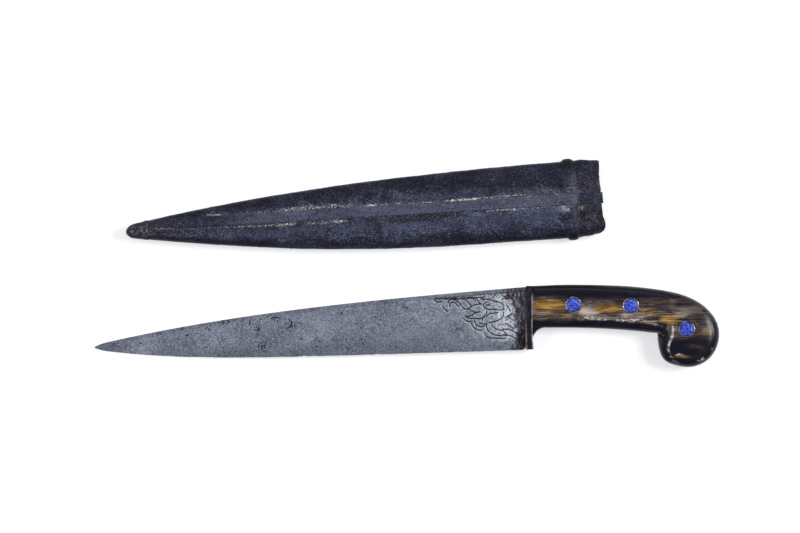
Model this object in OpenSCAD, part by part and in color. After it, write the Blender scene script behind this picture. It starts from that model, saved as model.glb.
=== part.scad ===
// Curved knife with a horn grip, drawn and lying beside its leather-covered wooden scabbard.
// Sizes are in millimetres. +X runs toward the pommel and toward the mouth of the scabbard,
// +Y toward the back of the blade, and +Z up from the table that both pieces lie on.
// The origin is on the table, under the middle of the pair.
// The knife is drawn on its own axes: X starts where the blade meets the bolsters, Y starts on
// the line of the two front rivets, and Z starts in the middle plane of the blade.
// The scabbard is drawn on the axes that the knife has when it is sheathed.

/* [Blade] */
// Length of the blade, from its tip to the bolsters
blade_length = 257.4; // [200:0.2:310]
// Height of the back of the blade at the bolsters, above the line of the rivets
back_rise = 10.9; // [9:0.1:13]
// Depth of the cutting edge at the bolsters, below the line of the rivets
edge_drop = 26.4; // [24:0.1:30]
// Depth of the tip below the line of the rivets
tip_drop = 25.1; // [15:0.1:30]
// Height of the steel left at the tip
tip_height = 2.8; // [1.5:0.1:5]
// How far the cutting edge swells below a straight line from heel to tip
belly = 9; // [4:0.1:12]
// Thickness of the back at the bolsters
back_thick = 4.4; // [3.8:0.1:5]
// Thickness of the back at the tip
tip_thick = 1.2; // [0.8:0.1:2]
// Thickness left on the worn cutting edge
edge_thick = 0.4; // [0.3:0.05:0.8]
// Height of the bevel that thins the top of the back
bevel_height = 2.4; // [1:0.1:4]
// Radius of the heel corner, where the edge ends at the bolsters
heel_round = 2.2; // [1:0.1:4]

/* [Tang] */
// Thickness of the tang under the bolsters
tang_front_thick = 3.5; // [2.5:0.1:3.7]
// Thickness of the tang at the end of the pommel
tang_rear_thick = 2.5; // [1.6:0.1:3.5]

/* [Bolsters] */
// Length of the bolsters along the grip
bolster_length = 4.2; // [3:0.1:8]
// How far the top of the bolsters and the grip stands above the back of the blade
shoulder_rise = 0.9; // [0.4:0.1:1.6]
// Width of the bevel round the front of the bolsters
bolster_bevel = 0.7; // [0.3:0.1:1.2]
// How far the foot of the bolsters flares toward the grip
foot_flare = 0.6; // [0:0.1:1.2]
// Width of the rounding along the lower side of the bolsters
bolster_round = 8; // [5:0.5:10]

/* [Grip] */
// Distance from the bolsters to the middle of the pommel
grip_length = 93.3; // [84:0.1:110]
// Half of the grip's thickness at the bolsters
grip_half_front = 5.5; // [5:0.1:6.2]
// Half of the grip's thickness at the end of the pommel
grip_half_rear = 9.5; // [7.5:0.1:12]
// Depth of the grip's underside below the line of the rivets
grip_drop = 12.9; // [11:0.1:15]
// Radius of the hollow between the underside and the foot of the bolsters
hollow_radius = 8.9; // [6:0.1:10]
// Radius of the disc that the pommel curls into
pommel_radius = 18.3; // [16:0.1:21]
// Depth of the middle of the pommel below the line of the rivets
pommel_drop = 18.6; // [16:0.1:22]
// Depth of the notch between the pommel's lip and the underside
notch_depth = 2.4; // [1:0.1:3.5]
// Width of the rounding along the top of the grip
top_round = 5; // [3:0.1:6]
// Width of the rounding along the underside of the grip
under_round = 7; // [4:0.1:7.5]
// Width of the rounding round the pommel
pommel_round = 6; // [3:0.1:7]
// Width of the rounding on the pommel's lip
lip_round = 2.8; // [1.5:0.1:4]

/* [Rivets] */
// Distance from the bolsters to the front rivet
front_rivet = 24.6; // [18:0.1:32]
// Distance from the front rivet to the middle rivet
rivet_step = 34.4; // [28:0.1:40]
// Height of the front rivet above the line of the rivets
front_rivet_rise = 0.5; // [-2:0.1:2]
// Height of the middle rivet above the line of the rivets
middle_rivet_rise = -0.1; // [-2:0.1:2]
// Height of the rear rivet above the middle of the pommel
rear_rivet_rise = 4.6; // [0:0.1:7]
// Distance of the rear rivet in front of the middle of the pommel
rear_rivet_back = 0.9; // [-3:0.1:3]
// Diameter of the rivets
rivet_diameter = 3; // [2:0.1:4]
// Diameter of the peened rivet heads
head_diameter = 5.2; // [4.4:0.1:6.4]
// Height of the peened rivet heads
head_height = 0.7; // [0.4:0.1:1]
// Diameter of the silver cups that hold the stones
cup_diameter = 9.8; // [9:0.1:11]
// Wall of the silver cups
cup_wall = 0.6; // [0.4:0.05:0.8]
// Floor of the silver cups
cup_floor = 0.6; // [0.4:0.05:1]
// Depth of the cups in the grip
cup_sink = 2.4; // [2.2:0.1:3]
// How far the rims of the cups stand above the grip
cup_proud = 0.35; // [0.25:0.05:0.6]
// Space between a stone and the wall of its cup
stone_gap = 0.3; // [0.1:0.05:0.5]
// Height of the straight side of a stone
stone_side = 1.1; // [0.7:0.1:1.3]
// Height of the dome of a stone
stone_dome = 0.6; // [0.3:0.1:1.2]

/* [Scabbard] */
// Length of the scabbard past the tip of the sheathed blade
tip_room = 13; // [10:0.1:20]
// Space between the blade and the wood, on every side of its outline
blade_room = 0.7; // [0.4:0.05:0.8]
// Thickness of the slot that takes the blade
slot_thick = 5; // [4.8:0.1:5.4]
// Depth of the scabbard behind the middle plane of the blade
back_depth = 7.4; // [7.2:0.1:9]
// Depth of the scabbard in front of that plane at the bolster line
front_depth = 8; // [7.8:0.1:9]
// Depth of the scabbard in front of that plane at the tip
front_depth_tip = 5.4; // [5.2:0.1:6.5]
// How far the back rises off the table at the tip
toe_lift = 1.8; // [0:0.1:2]
// Length of that rise
toe_length = 60; // [30:1:90]
// Radius of the rounded tip
nose_radius = 4.5; // [3:0.1:5.5]
// Thickness of the leather
leather_thick = 1.3; // [1:0.05:1.4]
// Distance from the bolster line to the mouth, at the height of the rivets
mouth_reach = 14.4; // [10:0.1:18]
// Angle that the mouth and the cord lean back by
mouth_lean = 5.1; // [0:0.1:6]
// How far the collar draws in at the top of the mouth
mouth_draw_top = 0.7; // [0:0.1:0.9]
// How far the collar draws in at the bottom of the mouth
mouth_draw_bottom = 2.1; // [0:0.1:2.2]

/* [Scabbard fittings] */
// Width of the cord under the leather, along the scabbard
cord_width = 3.8; // [3:0.1:5]
// Height of the cord
cord_height = 2.6; // [2:0.1:2.8]
// Thickness of the cap over the tip
cap_thick = 0.7; // [0.5:0.05:0.8]
// Length of the cap over the tip
cap_length = 13.6; // [10:0.1:20]
// How far the rim of the cap stands above the leather
cap_proud = 0.3; // [0.1:0.05:0.5]
// Width of the raised seam strip
strip_width = 7.2; // [5:0.1:9]
// Where the strip starts at the cap, as a share of the height of the leather there
strip_share_tip = 0.76; // [0.4:0.01:0.8]
// Where the strip ends at the mouth, as a share of the height of the leather there
strip_share_mouth = 0.5; // [0.3:0.01:0.7]
// Height of the seam strip above the leather
strip_height = 0.9; // [0.5:0.1:1.4]
// How far the seam strip stands out of the mouth
strip_reach = 0.6; // [0:0.1:1.5]

/* [Layout] */
// How far the scabbard lies toward the pommel from where it would hold the blade
apart_along = 30.6; // [0:0.1:60]
// How far the scabbard lies behind the knife
apart_across = 71.4; // [65:0.1:100]

/* [Fits] */
// Clearance between pieces that are fixed to each other
fit = 0.05; // [0.03:0.01:0.1]

/* [Hidden] */

LEFT = 1;
RIGHT = -1;
round_steps = 48;

// Shares of the blade's rise and belly that bend its two outlines
back_bend = [0, 0.44, 0.68, 0.85, 1];
edge_bend = [0, 1, 0.3, 0.3, 0];
// Heights that bend the scabbard's leather and wood above and below the blade, from tip to mouth
wall_above = [0, 2.2, 4.9, 4.6];
wall_below = [4.1, 1.1, 13.3, 6.1, 3.9];

// Value on a smooth curve through the first and last of its control values, for t from 0 to 1
function bend(c, t) = len(c) == 1 ? c[0]
    : bend([for (i = [0:len(c) - 2]) c[i] * (1 - t) + c[i + 1] * t], t);
function mix(a, b, t) = a + (b - a) * t;
function clamp(x, low, high) = min(max(x, low), high);
function unit(v) = v / norm(v);
function reverse(list) = [for (i = [len(list) - 1:-1:0]) list[i]];

// Ways to close the two ends of a loft: one flat face, a fan of triangles round the first point
// where the rings aren't flat, or faces across from one half of the ring to the other
FLAT = 0;
FAN = 1;
ACROSS = 2;

// Faces of the end whose ring starts at point first
function end_faces(around, first, kind) = kind == FLAT ? [[for (i = [0:around - 1]) first + i]]
    : kind == FAN ? [for (i = [1:around - 2]) [first, first + i, first + i + 1]]
    : [for (i = [0:around / 2 - 2])
        [first + i, first + i + 1, first + around - 2 - i, first + around - 1 - i]];

// Solid through a row of rings that all have the same number of points
module loft(rings, ends = FLAT) {
    around = len(rings[0]);
    last = len(rings) - 1;
    sides = [for (k = [0:last - 1], i = [0:around - 1])
        let (a = k * around + i, b = k * around + (i + 1) % around)
        each [[a, b, a + around], [b, b + around, a + around]]];
    start = [for (face = end_faces(around, 0, ends)) reverse(face)];
    end = end_faces(around, last * around, ends);
    polyhedron([for (ring = rings) each ring], concat(start, end, sides));
}

// All that lies above a plane, which stands at z where x is 0 and climbs by slope along X
module above_plane(z, slope) {
    reach = 2 * blade_length;
    height = 40;
    translate([0, 0, z]) rotate([0, -atan(slope), 0]) translate([-reach, -reach, 0])
        cube([2 * reach, 2 * reach, height]);
}

// The blade's outlines and thickness, from t = 0 at the tip to t = 1 at the bolsters
function back_line(t) = mix(tip_height / 2 - tip_drop, back_rise, bend(back_bend, t));
function edge_line(t) = mix(-tip_height / 2 - tip_drop, -edge_drop, t) - belly * bend(edge_bend, t);
function back_half(t) = mix(tip_thick, back_thick, t) / 2;

// Levels of the blade's section: share of its height below the bevel, and share of its thickness
blade_levels = [[0, 1], [0.22, 0.9], [0.5, 0.68], [0.78, 0.38]];
back_flat_share = 0.7;
// Most of the blade's height that the bevel takes, near the tip
bevel_limit = 0.25;
blade_stations = 40;

// Depth that the heel corner takes off the blade at x, so that the edge curves up to the bolsters
heel_share = 0.9;
function heel_cut(x) = x < -heel_round ? 0
    : heel_share * (heel_round - sqrt(max(0, heel_round * heel_round - pow(x + heel_round, 2))));

function blade_ring(x) = let (
        t = (x + blade_length) / blade_length,
        top = back_line(t),
        low = edge_line(t) + heel_cut(x),
        half = back_half(t),
        ridge = top - min(bevel_height, (top - low) * bevel_limit),
        side = concat([[top, half * back_flat_share]],
            [for (level = blade_levels) [mix(ridge, low, level[0]), half * level[1]]],
            [[low, edge_thick / 2]]))
    concat([for (q = side) [x, q[0], -q[1]]], [for (q = reverse(side)) [x, q[0], q[1]]]);

// Stations along the blade, closer together at the heel corner
blade_xs = concat([for (i = [0:blade_stations]) mix(-blade_length, -heel_round, i / blade_stations)],
    [for (a = [20:20:80]) -heel_round * (1 - sin(a))], [0]);

// Outline of the grip, seen from the side. Each point carries the width of the rounding there.
scale_front = bolster_length + fit;
grip_top = back_rise + shoulder_rise;
pommel_x = bolster_length + grip_length;
pommel_tail = pommel_x + pommel_radius;
// Where the top line turns down toward the tail, from the middle of the pommel and the top
crown_back = 9.3;
crown_drop = 4.4;
crown_x = pommel_x - crown_back;
crown_y = grip_top - crown_drop;
// Where the pommel's lip meets the underside, a little above the middle of the pommel
notch_rise = 0.9;
notch_x = pommel_x - pommel_radius + notch_depth;
notch_y = notch_rise - pommel_drop;
crown_steps = 12;
tail_steps = 10;
curl_steps = 22;
under_steps = 12;
hollow_steps = 7;
// How far the curl of the pommel runs past half a turn
curl_end = 184;
// How far the hollow bites into the line of the bolsters
hollow_bite = 0.2;
hollow_x = scale_front + hollow_radius - hollow_bite;
hollow_y = -grip_drop - hollow_radius;

// How the curves stand off straight lines: the arch of the top, the fall of the tail, the sag and
// the rise of the underside, and the two steps from the notch to the underside, along and up
top_arch = 0.8;
top_level = 0.2;
tail_fall = 2.8;
under_sag = 0.7;
under_rise = 0.3;
lip_step = [-2, 1.1];
lip_run = [-5.6, 1.7];

// Control points of the outline's three curves. The top arches a little above its two ends, the
// tail falls round to the back of the pommel, and the underside runs forward to the hollow.
top_curve = [[scale_front, grip_top, top_round],
    [mix(scale_front, crown_x, 1 / 3), grip_top + top_arch, top_round],
    [mix(scale_front, crown_x, 0.7), grip_top + top_level, top_round],
    [crown_x, crown_y, top_round]];
tail_curve = [[crown_x, crown_y, top_round],
    [mix(crown_x, pommel_tail, 0.5), crown_y - tail_fall, top_round],
    [pommel_tail, mix(crown_y, -pommel_drop, 0.45), pommel_round],
    [pommel_tail, -pommel_drop, pommel_round]];
under_curve = [[notch_x + lip_run[0], notch_y + lip_run[1], lip_round],
    [mix(notch_x, hollow_x, 1 / 3), -grip_drop - under_sag, under_round],
    [mix(notch_x, hollow_x, 0.7), under_rise - grip_drop, under_round],
    [hollow_x, -grip_drop, under_round]];

grip_path = concat(
    [for (i = [0:crown_steps - 1]) bend(top_curve, i / crown_steps)],
    [for (i = [0:tail_steps - 1]) bend(tail_curve, i / tail_steps)],
    [for (i = [0:curl_steps]) let (a = -curl_end * i / curl_steps)
        [pommel_x + pommel_radius * cos(a), -pommel_drop + pommel_radius * sin(a),
            mix(pommel_round, lip_round, pow(i / curl_steps, 2))]],
    [[notch_x, notch_y, lip_round]],
    [[notch_x + lip_step[0], notch_y + lip_step[1], lip_round]],
    [for (i = [0:under_steps - 1]) bend(under_curve, i / under_steps)]);

// Direction into the horn at point i of the outline
function inward(i) = let (
        last = len(grip_path) - 1,
        d = unit(grip_path[min(i + 1, last)] - grip_path[max(i - 1, 0)]))
    i == 0 ? [0, -1] : unit([d[1], -d[0]]);

// Outline of the grip drawn in by a share of the width of the rounding
function grip_outline(share) = concat(
    [for (i = [0:len(grip_path) - 1]) let (p = grip_path[i], n = inward(i) * p[2] * share)
        [p[0] + n[0], p[1] + n[1]]],
    [for (j = [0:hollow_steps]) let (
            r = hollow_radius + under_round * share,
            a = mix(90, acos((scale_front - hollow_x) / r), j / hollow_steps))
        [hollow_x + r * cos(a), hollow_y + r * sin(a)]]);

function tang_half(x) = mix(tang_front_thick, tang_rear_thick, x / pommel_tail) / 2;
function grip_half(x) = mix(grip_half_front, grip_half_rear, x / pommel_tail);
tang_slope = (tang_half(pommel_tail) - tang_half(0)) / pommel_tail;
grip_slope = (grip_half_rear - grip_half_front) / pommel_tail;

// Steps of a rounded side: share drawn in, and share of the height
wall_share = 0.3;
side_steps = [for (a = [0:22.5:90]) [1 - cos(a), mix(wall_share, 1, sin(a))]];

// Plate that fills the middle of the grip and thins toward the pommel. It runs a little into the
// blade, and its foot fills the bolsters down to just above their own foot.
module tang() {
    into_blade = 0.3;
    under_back = 1;
    foot_low = -edge_drop + 0.4;
    foot_corner = 1.4;
    foot_front = 1.2;
    outline = concat([[-into_blade, back_rise - under_back], [0, back_rise], [bolster_bevel, grip_top]],
        grip_outline(0),
        [[bolster_length + foot_flare, foot_low + foot_corner], [bolster_length, foot_low],
            [foot_front, foot_low], [-into_blade, foot_low + heel_round]]);
    difference() {
        linear_extrude(2 * tang_front_thick, center = true) polygon(outline);
        for (turn = [0, 1]) mirror([0, 0, turn]) above_plane(tang_half(0), tang_slope);
        for (r = rivets) translate([r[0], r[1], 0])
            cylinder(d = rivet_diameter + 2 * fit, h = 3 * tang_front_thick, center = true,
                $fn = round_steps);
    }
}

module blade() {
    color("#8a8f98") place_knife() union() {
        loft([for (x = blade_xs) blade_ring(x)]);
        tang();
    }
}

// Half of the bolsters' section at x: a flat inner side and a rounded outer one. It starts at the
// height where the rear face begins to flare, so that the face above stays flat against the grip.
flare_height = 4;
function bolster_ring(x, rear, small) = let (
        inner = tang_half(x) + fit,
        outer = grip_half(x) - small,
        top = grip_top - small,
        low = -edge_drop + small,
        below = [for (s = side_steps) [low + bolster_round * s[0], mix(inner, outer, s[1])]],
        above = [for (s = reverse(side_steps)) [top - top_round * s[0], mix(inner, outer, s[1])]])
    [for (p = concat([[hollow_y, inner], [low, inner]], below, above, [[top, inner]]))
        [x + (rear ? foot_flare * clamp((hollow_y - p[0]) / flare_height, 0, 1) : 0), p[0], p[1]]];

module bolster(side) {
    color("#26252b") place_knife() mirror([0, 0, side == LEFT ? 0 : 1])
        loft([bolster_ring(fit, false, bolster_bevel),
            bolster_ring(bolster_bevel + fit, false, 0),
            bolster_ring(bolster_length, true, 0)], ends = FAN);
}

// A scale of the grip, from the tang outward: upright wall, rounded edge and flat face. The rings
// run past the tang and the face, and both are then cut flat.
before_tang = [0, -0.4];
past_face = [1.1, 1.04];
module scale_body() {
    steps = concat([before_tang], [for (i = [0:len(side_steps) - 2]) side_steps[i]], [past_face]);
    difference() {
        loft([for (s = steps) [for (p = grip_outline(s[0]))
            [p[0], p[1], mix(tang_half(p[0]) + fit, grip_half(p[0]), s[1])]]]);
        above_plane(grip_half_front, grip_slope);
        mirror([0, 0, 1]) above_plane(-tang_half(0) - fit, -tang_slope);
    }
}

module scale(side) {
    color("#4a3a2a") place_knife() mirror([0, 0, side == LEFT ? 0 : 1]) difference() {
        scale_body();
        for (r = rivets) translate([r[0], r[1], 0]) {
            cylinder(d = rivet_diameter + 2 * fit, h = grip_half_rear, $fn = round_steps);
            translate([0, 0, cup_seat(r)])
                cylinder(d = cup_diameter + 2 * fit, h = grip_half_rear, $fn = round_steps);
        }
    }
}

// Places of the rivets, from the bolsters to the pommel
rivets = [[bolster_length + front_rivet, front_rivet_rise],
    [bolster_length + front_rivet + rivet_step, middle_rivet_rise],
    [pommel_x - rear_rivet_back, rear_rivet_rise - pommel_drop]];
FRONT = 0;
MIDDLE = 1;
REAR = 2;

// Heights over the middle plane of what is stacked at rivet r
function cup_seat(r) = grip_half(r[0]) - cup_sink;
function head_seat(r) = cup_seat(r) + fit + cup_floor + fit;
function stone_seat(r) = head_seat(r) + head_height + fit;
function stone_top(r) = stone_seat(r) + stone_side + stone_dome;

// A rivet through the tang, both scales and the floors of both cups, peened at each end
module rivet(i) {
    r = rivets[i];
    color("#b0a070") place_knife() translate([r[0], r[1], 0]) {
        cylinder(d = rivet_diameter, h = 2 * head_seat(r) + head_height, center = true, $fn = round_steps);
        for (side = [LEFT, RIGHT]) mirror([0, 0, side == LEFT ? 0 : 1])
            translate([0, 0, head_seat(r)])
                cylinder(d1 = head_diameter, d2 = head_diameter - head_height, h = head_height,
                    $fn = round_steps);
    }
}

// A silver cup with a pierced floor and a rounded rim
module rivet_cup(i, side) {
    r = rivets[i];
    outer = cup_diameter / 2;
    inner = outer - cup_wall;
    height = cup_sink + cup_proud - fit;
    rim = cup_wall / 2;
    color("#c4c6c8") place_knife() mirror([0, 0, side == LEFT ? 0 : 1])
        translate([r[0], r[1], cup_seat(r) + fit])
            rotate_extrude($fn = round_steps) {
                difference() {
                    translate([rivet_diameter / 2 + fit, 0])
                        square([outer - rivet_diameter / 2 - fit, height - rim]);
                    translate([0, cup_floor]) square([inner, height]);
                }
                translate([outer - rim, height - rim]) circle(r = rim, $fn = 16);
            }
}

// A blue stone with a flat back, a straight side and a low dome
module stone(i, side) {
    r = rivets[i];
    half = cup_diameter / 2 - cup_wall - stone_gap;
    ball = (half * half + stone_dome * stone_dome) / (2 * stone_dome);
    color("#3f55c8") place_knife() mirror([0, 0, side == LEFT ? 0 : 1])
        translate([r[0], r[1], stone_seat(r)])
            rotate_extrude($fn = round_steps) {
                square([half, stone_side]);
                intersection() {
                    translate([0, stone_side + stone_dome - ball]) circle(r = ball, $fn = 96);
                    translate([0, stone_side - fit]) square([half, stone_dome + 2 * fit]);
                }
            }
}

// The scabbard's outline, from u = 0 at its tip to u = 1 at the bolster line
tip_x = -blade_length - tip_room;
cap_edge = tip_x + cap_length;
lean = tan(mouth_lean);
// The wood ends just where the foot of the sheathed bolsters would meet it
core_end = -edge_drop * lean - 2 * fit;
cord_x = core_end - cord_width / 2 - fit;
// Height of the swelling that the cord lifts in the leather, and its length to each side
swell = cord_height / 2 + 3 * fit;
swell_length = 4.4;

function run(x) = clamp((x - tip_x) / -tip_x, 0, 1);
function past_mouth(x) = clamp(x / mouth_reach, 0, 1);
function cover_top(x) = back_line(run(x)) + bend(wall_above, run(x)) - mouth_draw_top * past_mouth(x);
function cover_low(x) = edge_line(run(x)) - bend(wall_below, run(x)) + mouth_draw_bottom * past_mouth(x);
function cover_front(x) = mix(front_depth_tip, front_depth, run(x));
function cover_back(x) = back_depth - toe_lift * pow(clamp((tip_x + toe_length - x) / toe_length, 0, 1), 2);
// Slant of the stations: upright along the scabbard, then leaning more and more toward the cord,
// over a length that ends a little before it
lean_length = 32;
lean_ends = 8;
function slant(x) = lean * clamp(1 + (x - cord_x + lean_ends) / lean_length, 0, 1);
// Share of full size near the rounded tip, for a shape set in by inset
least_nose = 0.04;
function nose(x, inset) = let (d = (x - tip_x - inset) / (nose_radius - inset))
    d >= 1 ? 1 : sqrt(1 - pow(1 - max(d, least_nose), 2));
function bump(x) = abs(x - cord_x) >= swell_length ? 0
    : swell * (1 + cos(180 * (x - cord_x) / swell_length)) / 2;

// Fullness of the domed front and of the flat back
front_power = 2 / 3;
back_power = 2 / 5;
half_around = 13;
function power(v, p) = sign(v) * pow(abs(v), p);

// Ring of the scabbard at x, set in by inset, with its front and sides raised by rise and its
// back lowered by sole. It runs over the front from the bottom to the top, then along the back.
function ring_point(x, inset, rise, sole, a) = let (
        shrink = nose(x, inset),
        top = cover_top(x) - inset + rise,
        low = cover_low(x) + inset - rise,
        front = cover_front(x) - inset + rise,
        back = cover_back(x) - inset + sole,
        p = sin(a) >= 0 ? front_power : back_power,
        y = (top + low) / 2 - shrink * (top - low) / 2 * power(cos(a), p),
        z = shrink * (sin(a) >= 0 ? front : back) * power(sin(a), p))
    [x - slant(x) * y, y, z];
function front_arc(x, inset, rise) =
    [for (k = [0:half_around]) ring_point(x, inset, rise, 0, 180 * k / half_around)];
function back_arc(x, inset, rise, sole) =
    [for (k = [half_around:2 * half_around]) ring_point(x, inset, rise, sole, 180 * k / half_around)];
function whole_ring(x, inset, rise, sole) =
    [for (k = [0:2 * half_around - 1]) ring_point(x, inset, rise, sole, 180 * k / half_around)];

// Stations of the scabbard, with a rounded tip of radius r that starts at x
function nose_xs(x, r) = [for (a = [16:18:88]) x + r * (1 - cos(a))];
cap_backs = [8, 4, 2];
cap_xs = [for (back = cap_backs) cap_edge - back];
body_steps = 16;
swell_from = cord_x - swell_length;
before_swell = 2;
body_xs = [for (i = [0:body_steps]) mix(cap_edge, swell_from - before_swell, i / body_steps)];
swell_xs = [for (i = [-4:4]) cord_x + swell_length * i / 4];

// Depth of the flat cut under the leather, so that it lies on the table on one true plane
sole = 0.3;
skin = leather_thick;
cap_seat = cap_thick + fit;

module cut_flat() {
    length = 4 * blade_length;
    depth = back_depth;
    difference() {
        children();
        translate([-length / 2, -length / 2, -depth]) cube([length, length, depth]);
    }
}

// Leather sewn round the wood, open at the mouth and thinned under the cap at the tip
module leather_cover() {
    under_cap = [for (x = concat(nose_xs(tip_x + cap_seat, nose_radius - cap_seat), cap_xs, [cap_edge]))
        whole_ring(x, cap_seat, 0, 0)];
    outside = [for (x = concat(body_xs, swell_xs, [mouth_reach])) whole_ring(x, 0, bump(x), sole)];
    inside = [for (x = concat(nose_xs(tip_x + skin, nose_radius - skin), cap_xs, body_xs,
            swell_xs, [mouth_reach])) whole_ring(x, skin, bump(x), 0)];
    color("#3c3d4c") cut_flat() place_scabbard()
        loft(concat(under_cap, outside, reverse(inside)));
}

// Stations of the wooden halves, with the seat of the cord as a step before their end
core_inset = leather_thick + 2 * fit;
cord_seat = core_end - cord_width - 2 * fit;
seat_step = 0.01;
core_xs = concat(nose_xs(tip_x + core_inset, nose_radius - core_inset), cap_xs, body_xs,
    [swell_from, cord_seat]);
cord_sink = cord_height / 2 + fit;
// How far the cut of the slot runs on past the bolster line
slot_room = 20;
slot_steps = 30;

// Outline of the slot: the blade's own outline and the room round it, open at the mouth
module slot() {
    ts = [for (i = [0:slot_steps]) i / slot_steps];
    linear_extrude(slot_thick, center = true)
        polygon(concat(
            [for (t = ts) [mix(-blade_length - blade_room, 0, t), back_line(t) + blade_room]],
            [[slot_room, back_rise + blade_room], [slot_room, -edge_drop - blade_room]],
            [for (t = reverse(ts)) [mix(-blade_length - blade_room, 0, t), edge_line(t) - blade_room]]));
}

module scabbard_core_front() {
    seat = [for (p = front_arc(cord_seat, core_inset, -cord_sink)) p + [seat_step, 0, 0]];
    end = front_arc(core_end, core_inset, -cord_sink);
    rings = concat([for (x = core_xs) front_arc(x, core_inset, 0)], [seat, end]);
    color("#8b6b46") place_scabbard() difference() {
        loft([for (ring = rings) [for (p = ring) [p[0], p[1], max(p[2], fit / 2)]]]);
        slot();
    }
}

module scabbard_core_back() {
    seat = [for (p = back_arc(cord_seat, core_inset, -cord_sink, -cord_height - fit))
        p + [seat_step, 0, 0]];
    end = back_arc(core_end, core_inset, -cord_sink, -cord_height - fit);
    rings = concat([for (x = core_xs) back_arc(x, core_inset, 0, 0)], [seat, end]);
    color("#82633f") place_scabbard() difference() {
        loft([for (ring = rings) [for (p = ring) [p[0], p[1], min(p[2], -fit / 2)]]]);
        slot();
    }
}

// Cord tied round the wood under the leather, where the collar begins
module throat_cord() {
    sides = 8;
    around = 2 * half_around;
    inner = whole_ring(cord_x, core_inset, -cord_height / 2, -cord_height);
    outer = whole_ring(cord_x, core_inset, cord_height / 2, 0);
    points = [for (k = [0:around - 1], s = [0:sides - 1]) let (a = 360 * s / sides)
        mix(inner[k], outer[k], (1 + sin(a)) / 2) + [cord_width / 2 * cos(a), 0, 0]];
    faces = [for (k = [0:around - 1], s = [0:sides - 1]) let (
            a = k * sides + s, b = k * sides + (s + 1) % sides,
            c = ((k + 1) % around) * sides + s, d = ((k + 1) % around) * sides + (s + 1) % sides)
        each [[a, b, c], [b, d, c]]];
    color("#a08a60") place_scabbard() polyhedron(points, faces);
}

// Cap sewn over the tip, proud of the leather at its rim
module tip_cap() {
    outside = [for (x = concat(nose_xs(tip_x, nose_radius), cap_xs, [cap_edge - fit]))
        whole_ring(x, 0, cap_proud * clamp((x - tip_x) / cap_length, 0, 1), sole)];
    hollow_xs = concat(nose_xs(tip_x + cap_thick, nose_radius - cap_thick), cap_xs, [cap_edge - fit]);
    inside = [for (x = hollow_xs) whole_ring(x, cap_thick, 0, 0)];
    color("#4a4a50") cut_flat() place_scabbard() loft(concat(outside, reverse(inside)));
}

// Height of the leather's front at station x and height y
function front_height(x, y) = let (
        top = cover_top(x) + bump(x), low = cover_low(x) - bump(x), front = cover_front(x) + bump(x))
    front * pow(1 - pow(abs(2 * y - top - low) / (top - low), 2 / front_power), front_power / 2);

// The strip starts narrow at the cap, and its upper side is narrower and crowned
strip_gap = 0.6;
strip_first = 2;
strip_from = cap_edge + strip_gap;
strip_widens = 20;
strip_shoulder = 0.88;
strip_crown = 0.25;
strip_seat = 2 * fit;
strip_start_y = mix(cover_low(cap_edge), cover_top(cap_edge), strip_share_tip);
strip_end_y = mix(cover_low(mouth_reach), cover_top(mouth_reach), strip_share_mouth);
function strip_y(x) = mix(strip_start_y, strip_end_y, (x - cap_edge) / (mouth_reach - cap_edge));
function strip_half(x) = strip_width / 2 * clamp((1 + (x - strip_from) / strip_widens) / 2, 0, 1);

// Raised leather strip over the seam, straight from the cap to the mouth
module seam_strip() {
    xs = concat([strip_from], [for (x = body_xs) if (x > strip_from + strip_first) x],
        swell_xs, [mouth_reach, mouth_reach + strip_reach]);
    spans = [-1, -0.5, 0, 0.5, 1];
    rings = [for (x = xs) let (
            under = [for (s = reverse(spans)) let (y = strip_y(x) + strip_half(x) * s)
                [y, front_height(x, y) + strip_seat]],
            over = [for (s = spans) let (y = strip_y(x) + strip_half(x) * strip_shoulder * s)
                [y, front_height(x, y) + strip_seat + strip_height * (1 - strip_crown * s * s)]])
        [for (p = concat(under, over)) [x - slant(x) * p[0], p[0], p[1]]]];
    color("#4d505f") place_scabbard() loft(rings, ends = ACROSS);
}

// The knife lies on its right side: the tip and the lowest of the pommel and stones touch the table
tip_half = tip_thick / 2;
face_end = pommel_tail - pommel_round;
rests = concat([[face_end, grip_half(face_end)]], [for (r = rivets) [r[0], stone_top(r)]]);
tilt = atan(max([for (p = rests) (p[1] - tip_half) / (p[0] + blade_length)]));

// Middle of the pair along X and Y, from the parts that reach farthest
knife_left = -blade_length * cos(tilt) - tip_half * sin(tilt);
knife_right = pommel_tail * cos(tilt) + wall_share * grip_half_rear * sin(tilt);
knife_low = -pommel_drop - pommel_radius;
scabbard_high = apart_across + max([for (x = swell_xs, p = whole_ring(x, 0, bump(x), 0)) p[1]]);
middle = [(knife_left + knife_right) / 2, (knife_low + scabbard_high) / 2];

module place_knife() {
    translate([-middle[0], -middle[1], tip_half * cos(tilt) + blade_length * sin(tilt)])
        rotate([0, -tilt, 0]) children();
}

module place_scabbard() {
    translate([apart_along - middle[0], apart_across - middle[1], back_depth]) children();
}

blade();
bolster(LEFT);  // bolster_left
bolster(RIGHT);  // bolster_right
scale(LEFT);  // scale_left
scale(RIGHT);  // scale_right
rivet(FRONT);  // rivet_front
rivet(MIDDLE);  // rivet_middle
rivet(REAR);  // rivet_rear
rivet_cup(FRONT, LEFT);  // cup_left_front
rivet_cup(MIDDLE, LEFT);  // cup_left_middle
rivet_cup(REAR, LEFT);  // cup_left_rear
rivet_cup(FRONT, RIGHT);  // cup_right_front
rivet_cup(MIDDLE, RIGHT);  // cup_right_middle
rivet_cup(REAR, RIGHT);  // cup_right_rear
stone(FRONT, LEFT);  // stone_left_front
stone(MIDDLE, LEFT);  // stone_left_middle
stone(REAR, LEFT);  // stone_left_rear
stone(FRONT, RIGHT);  // stone_right_front
stone(MIDDLE, RIGHT);  // stone_right_middle
stone(REAR, RIGHT);  // stone_right_rear
scabbard_core_front();
scabbard_core_back();
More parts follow.
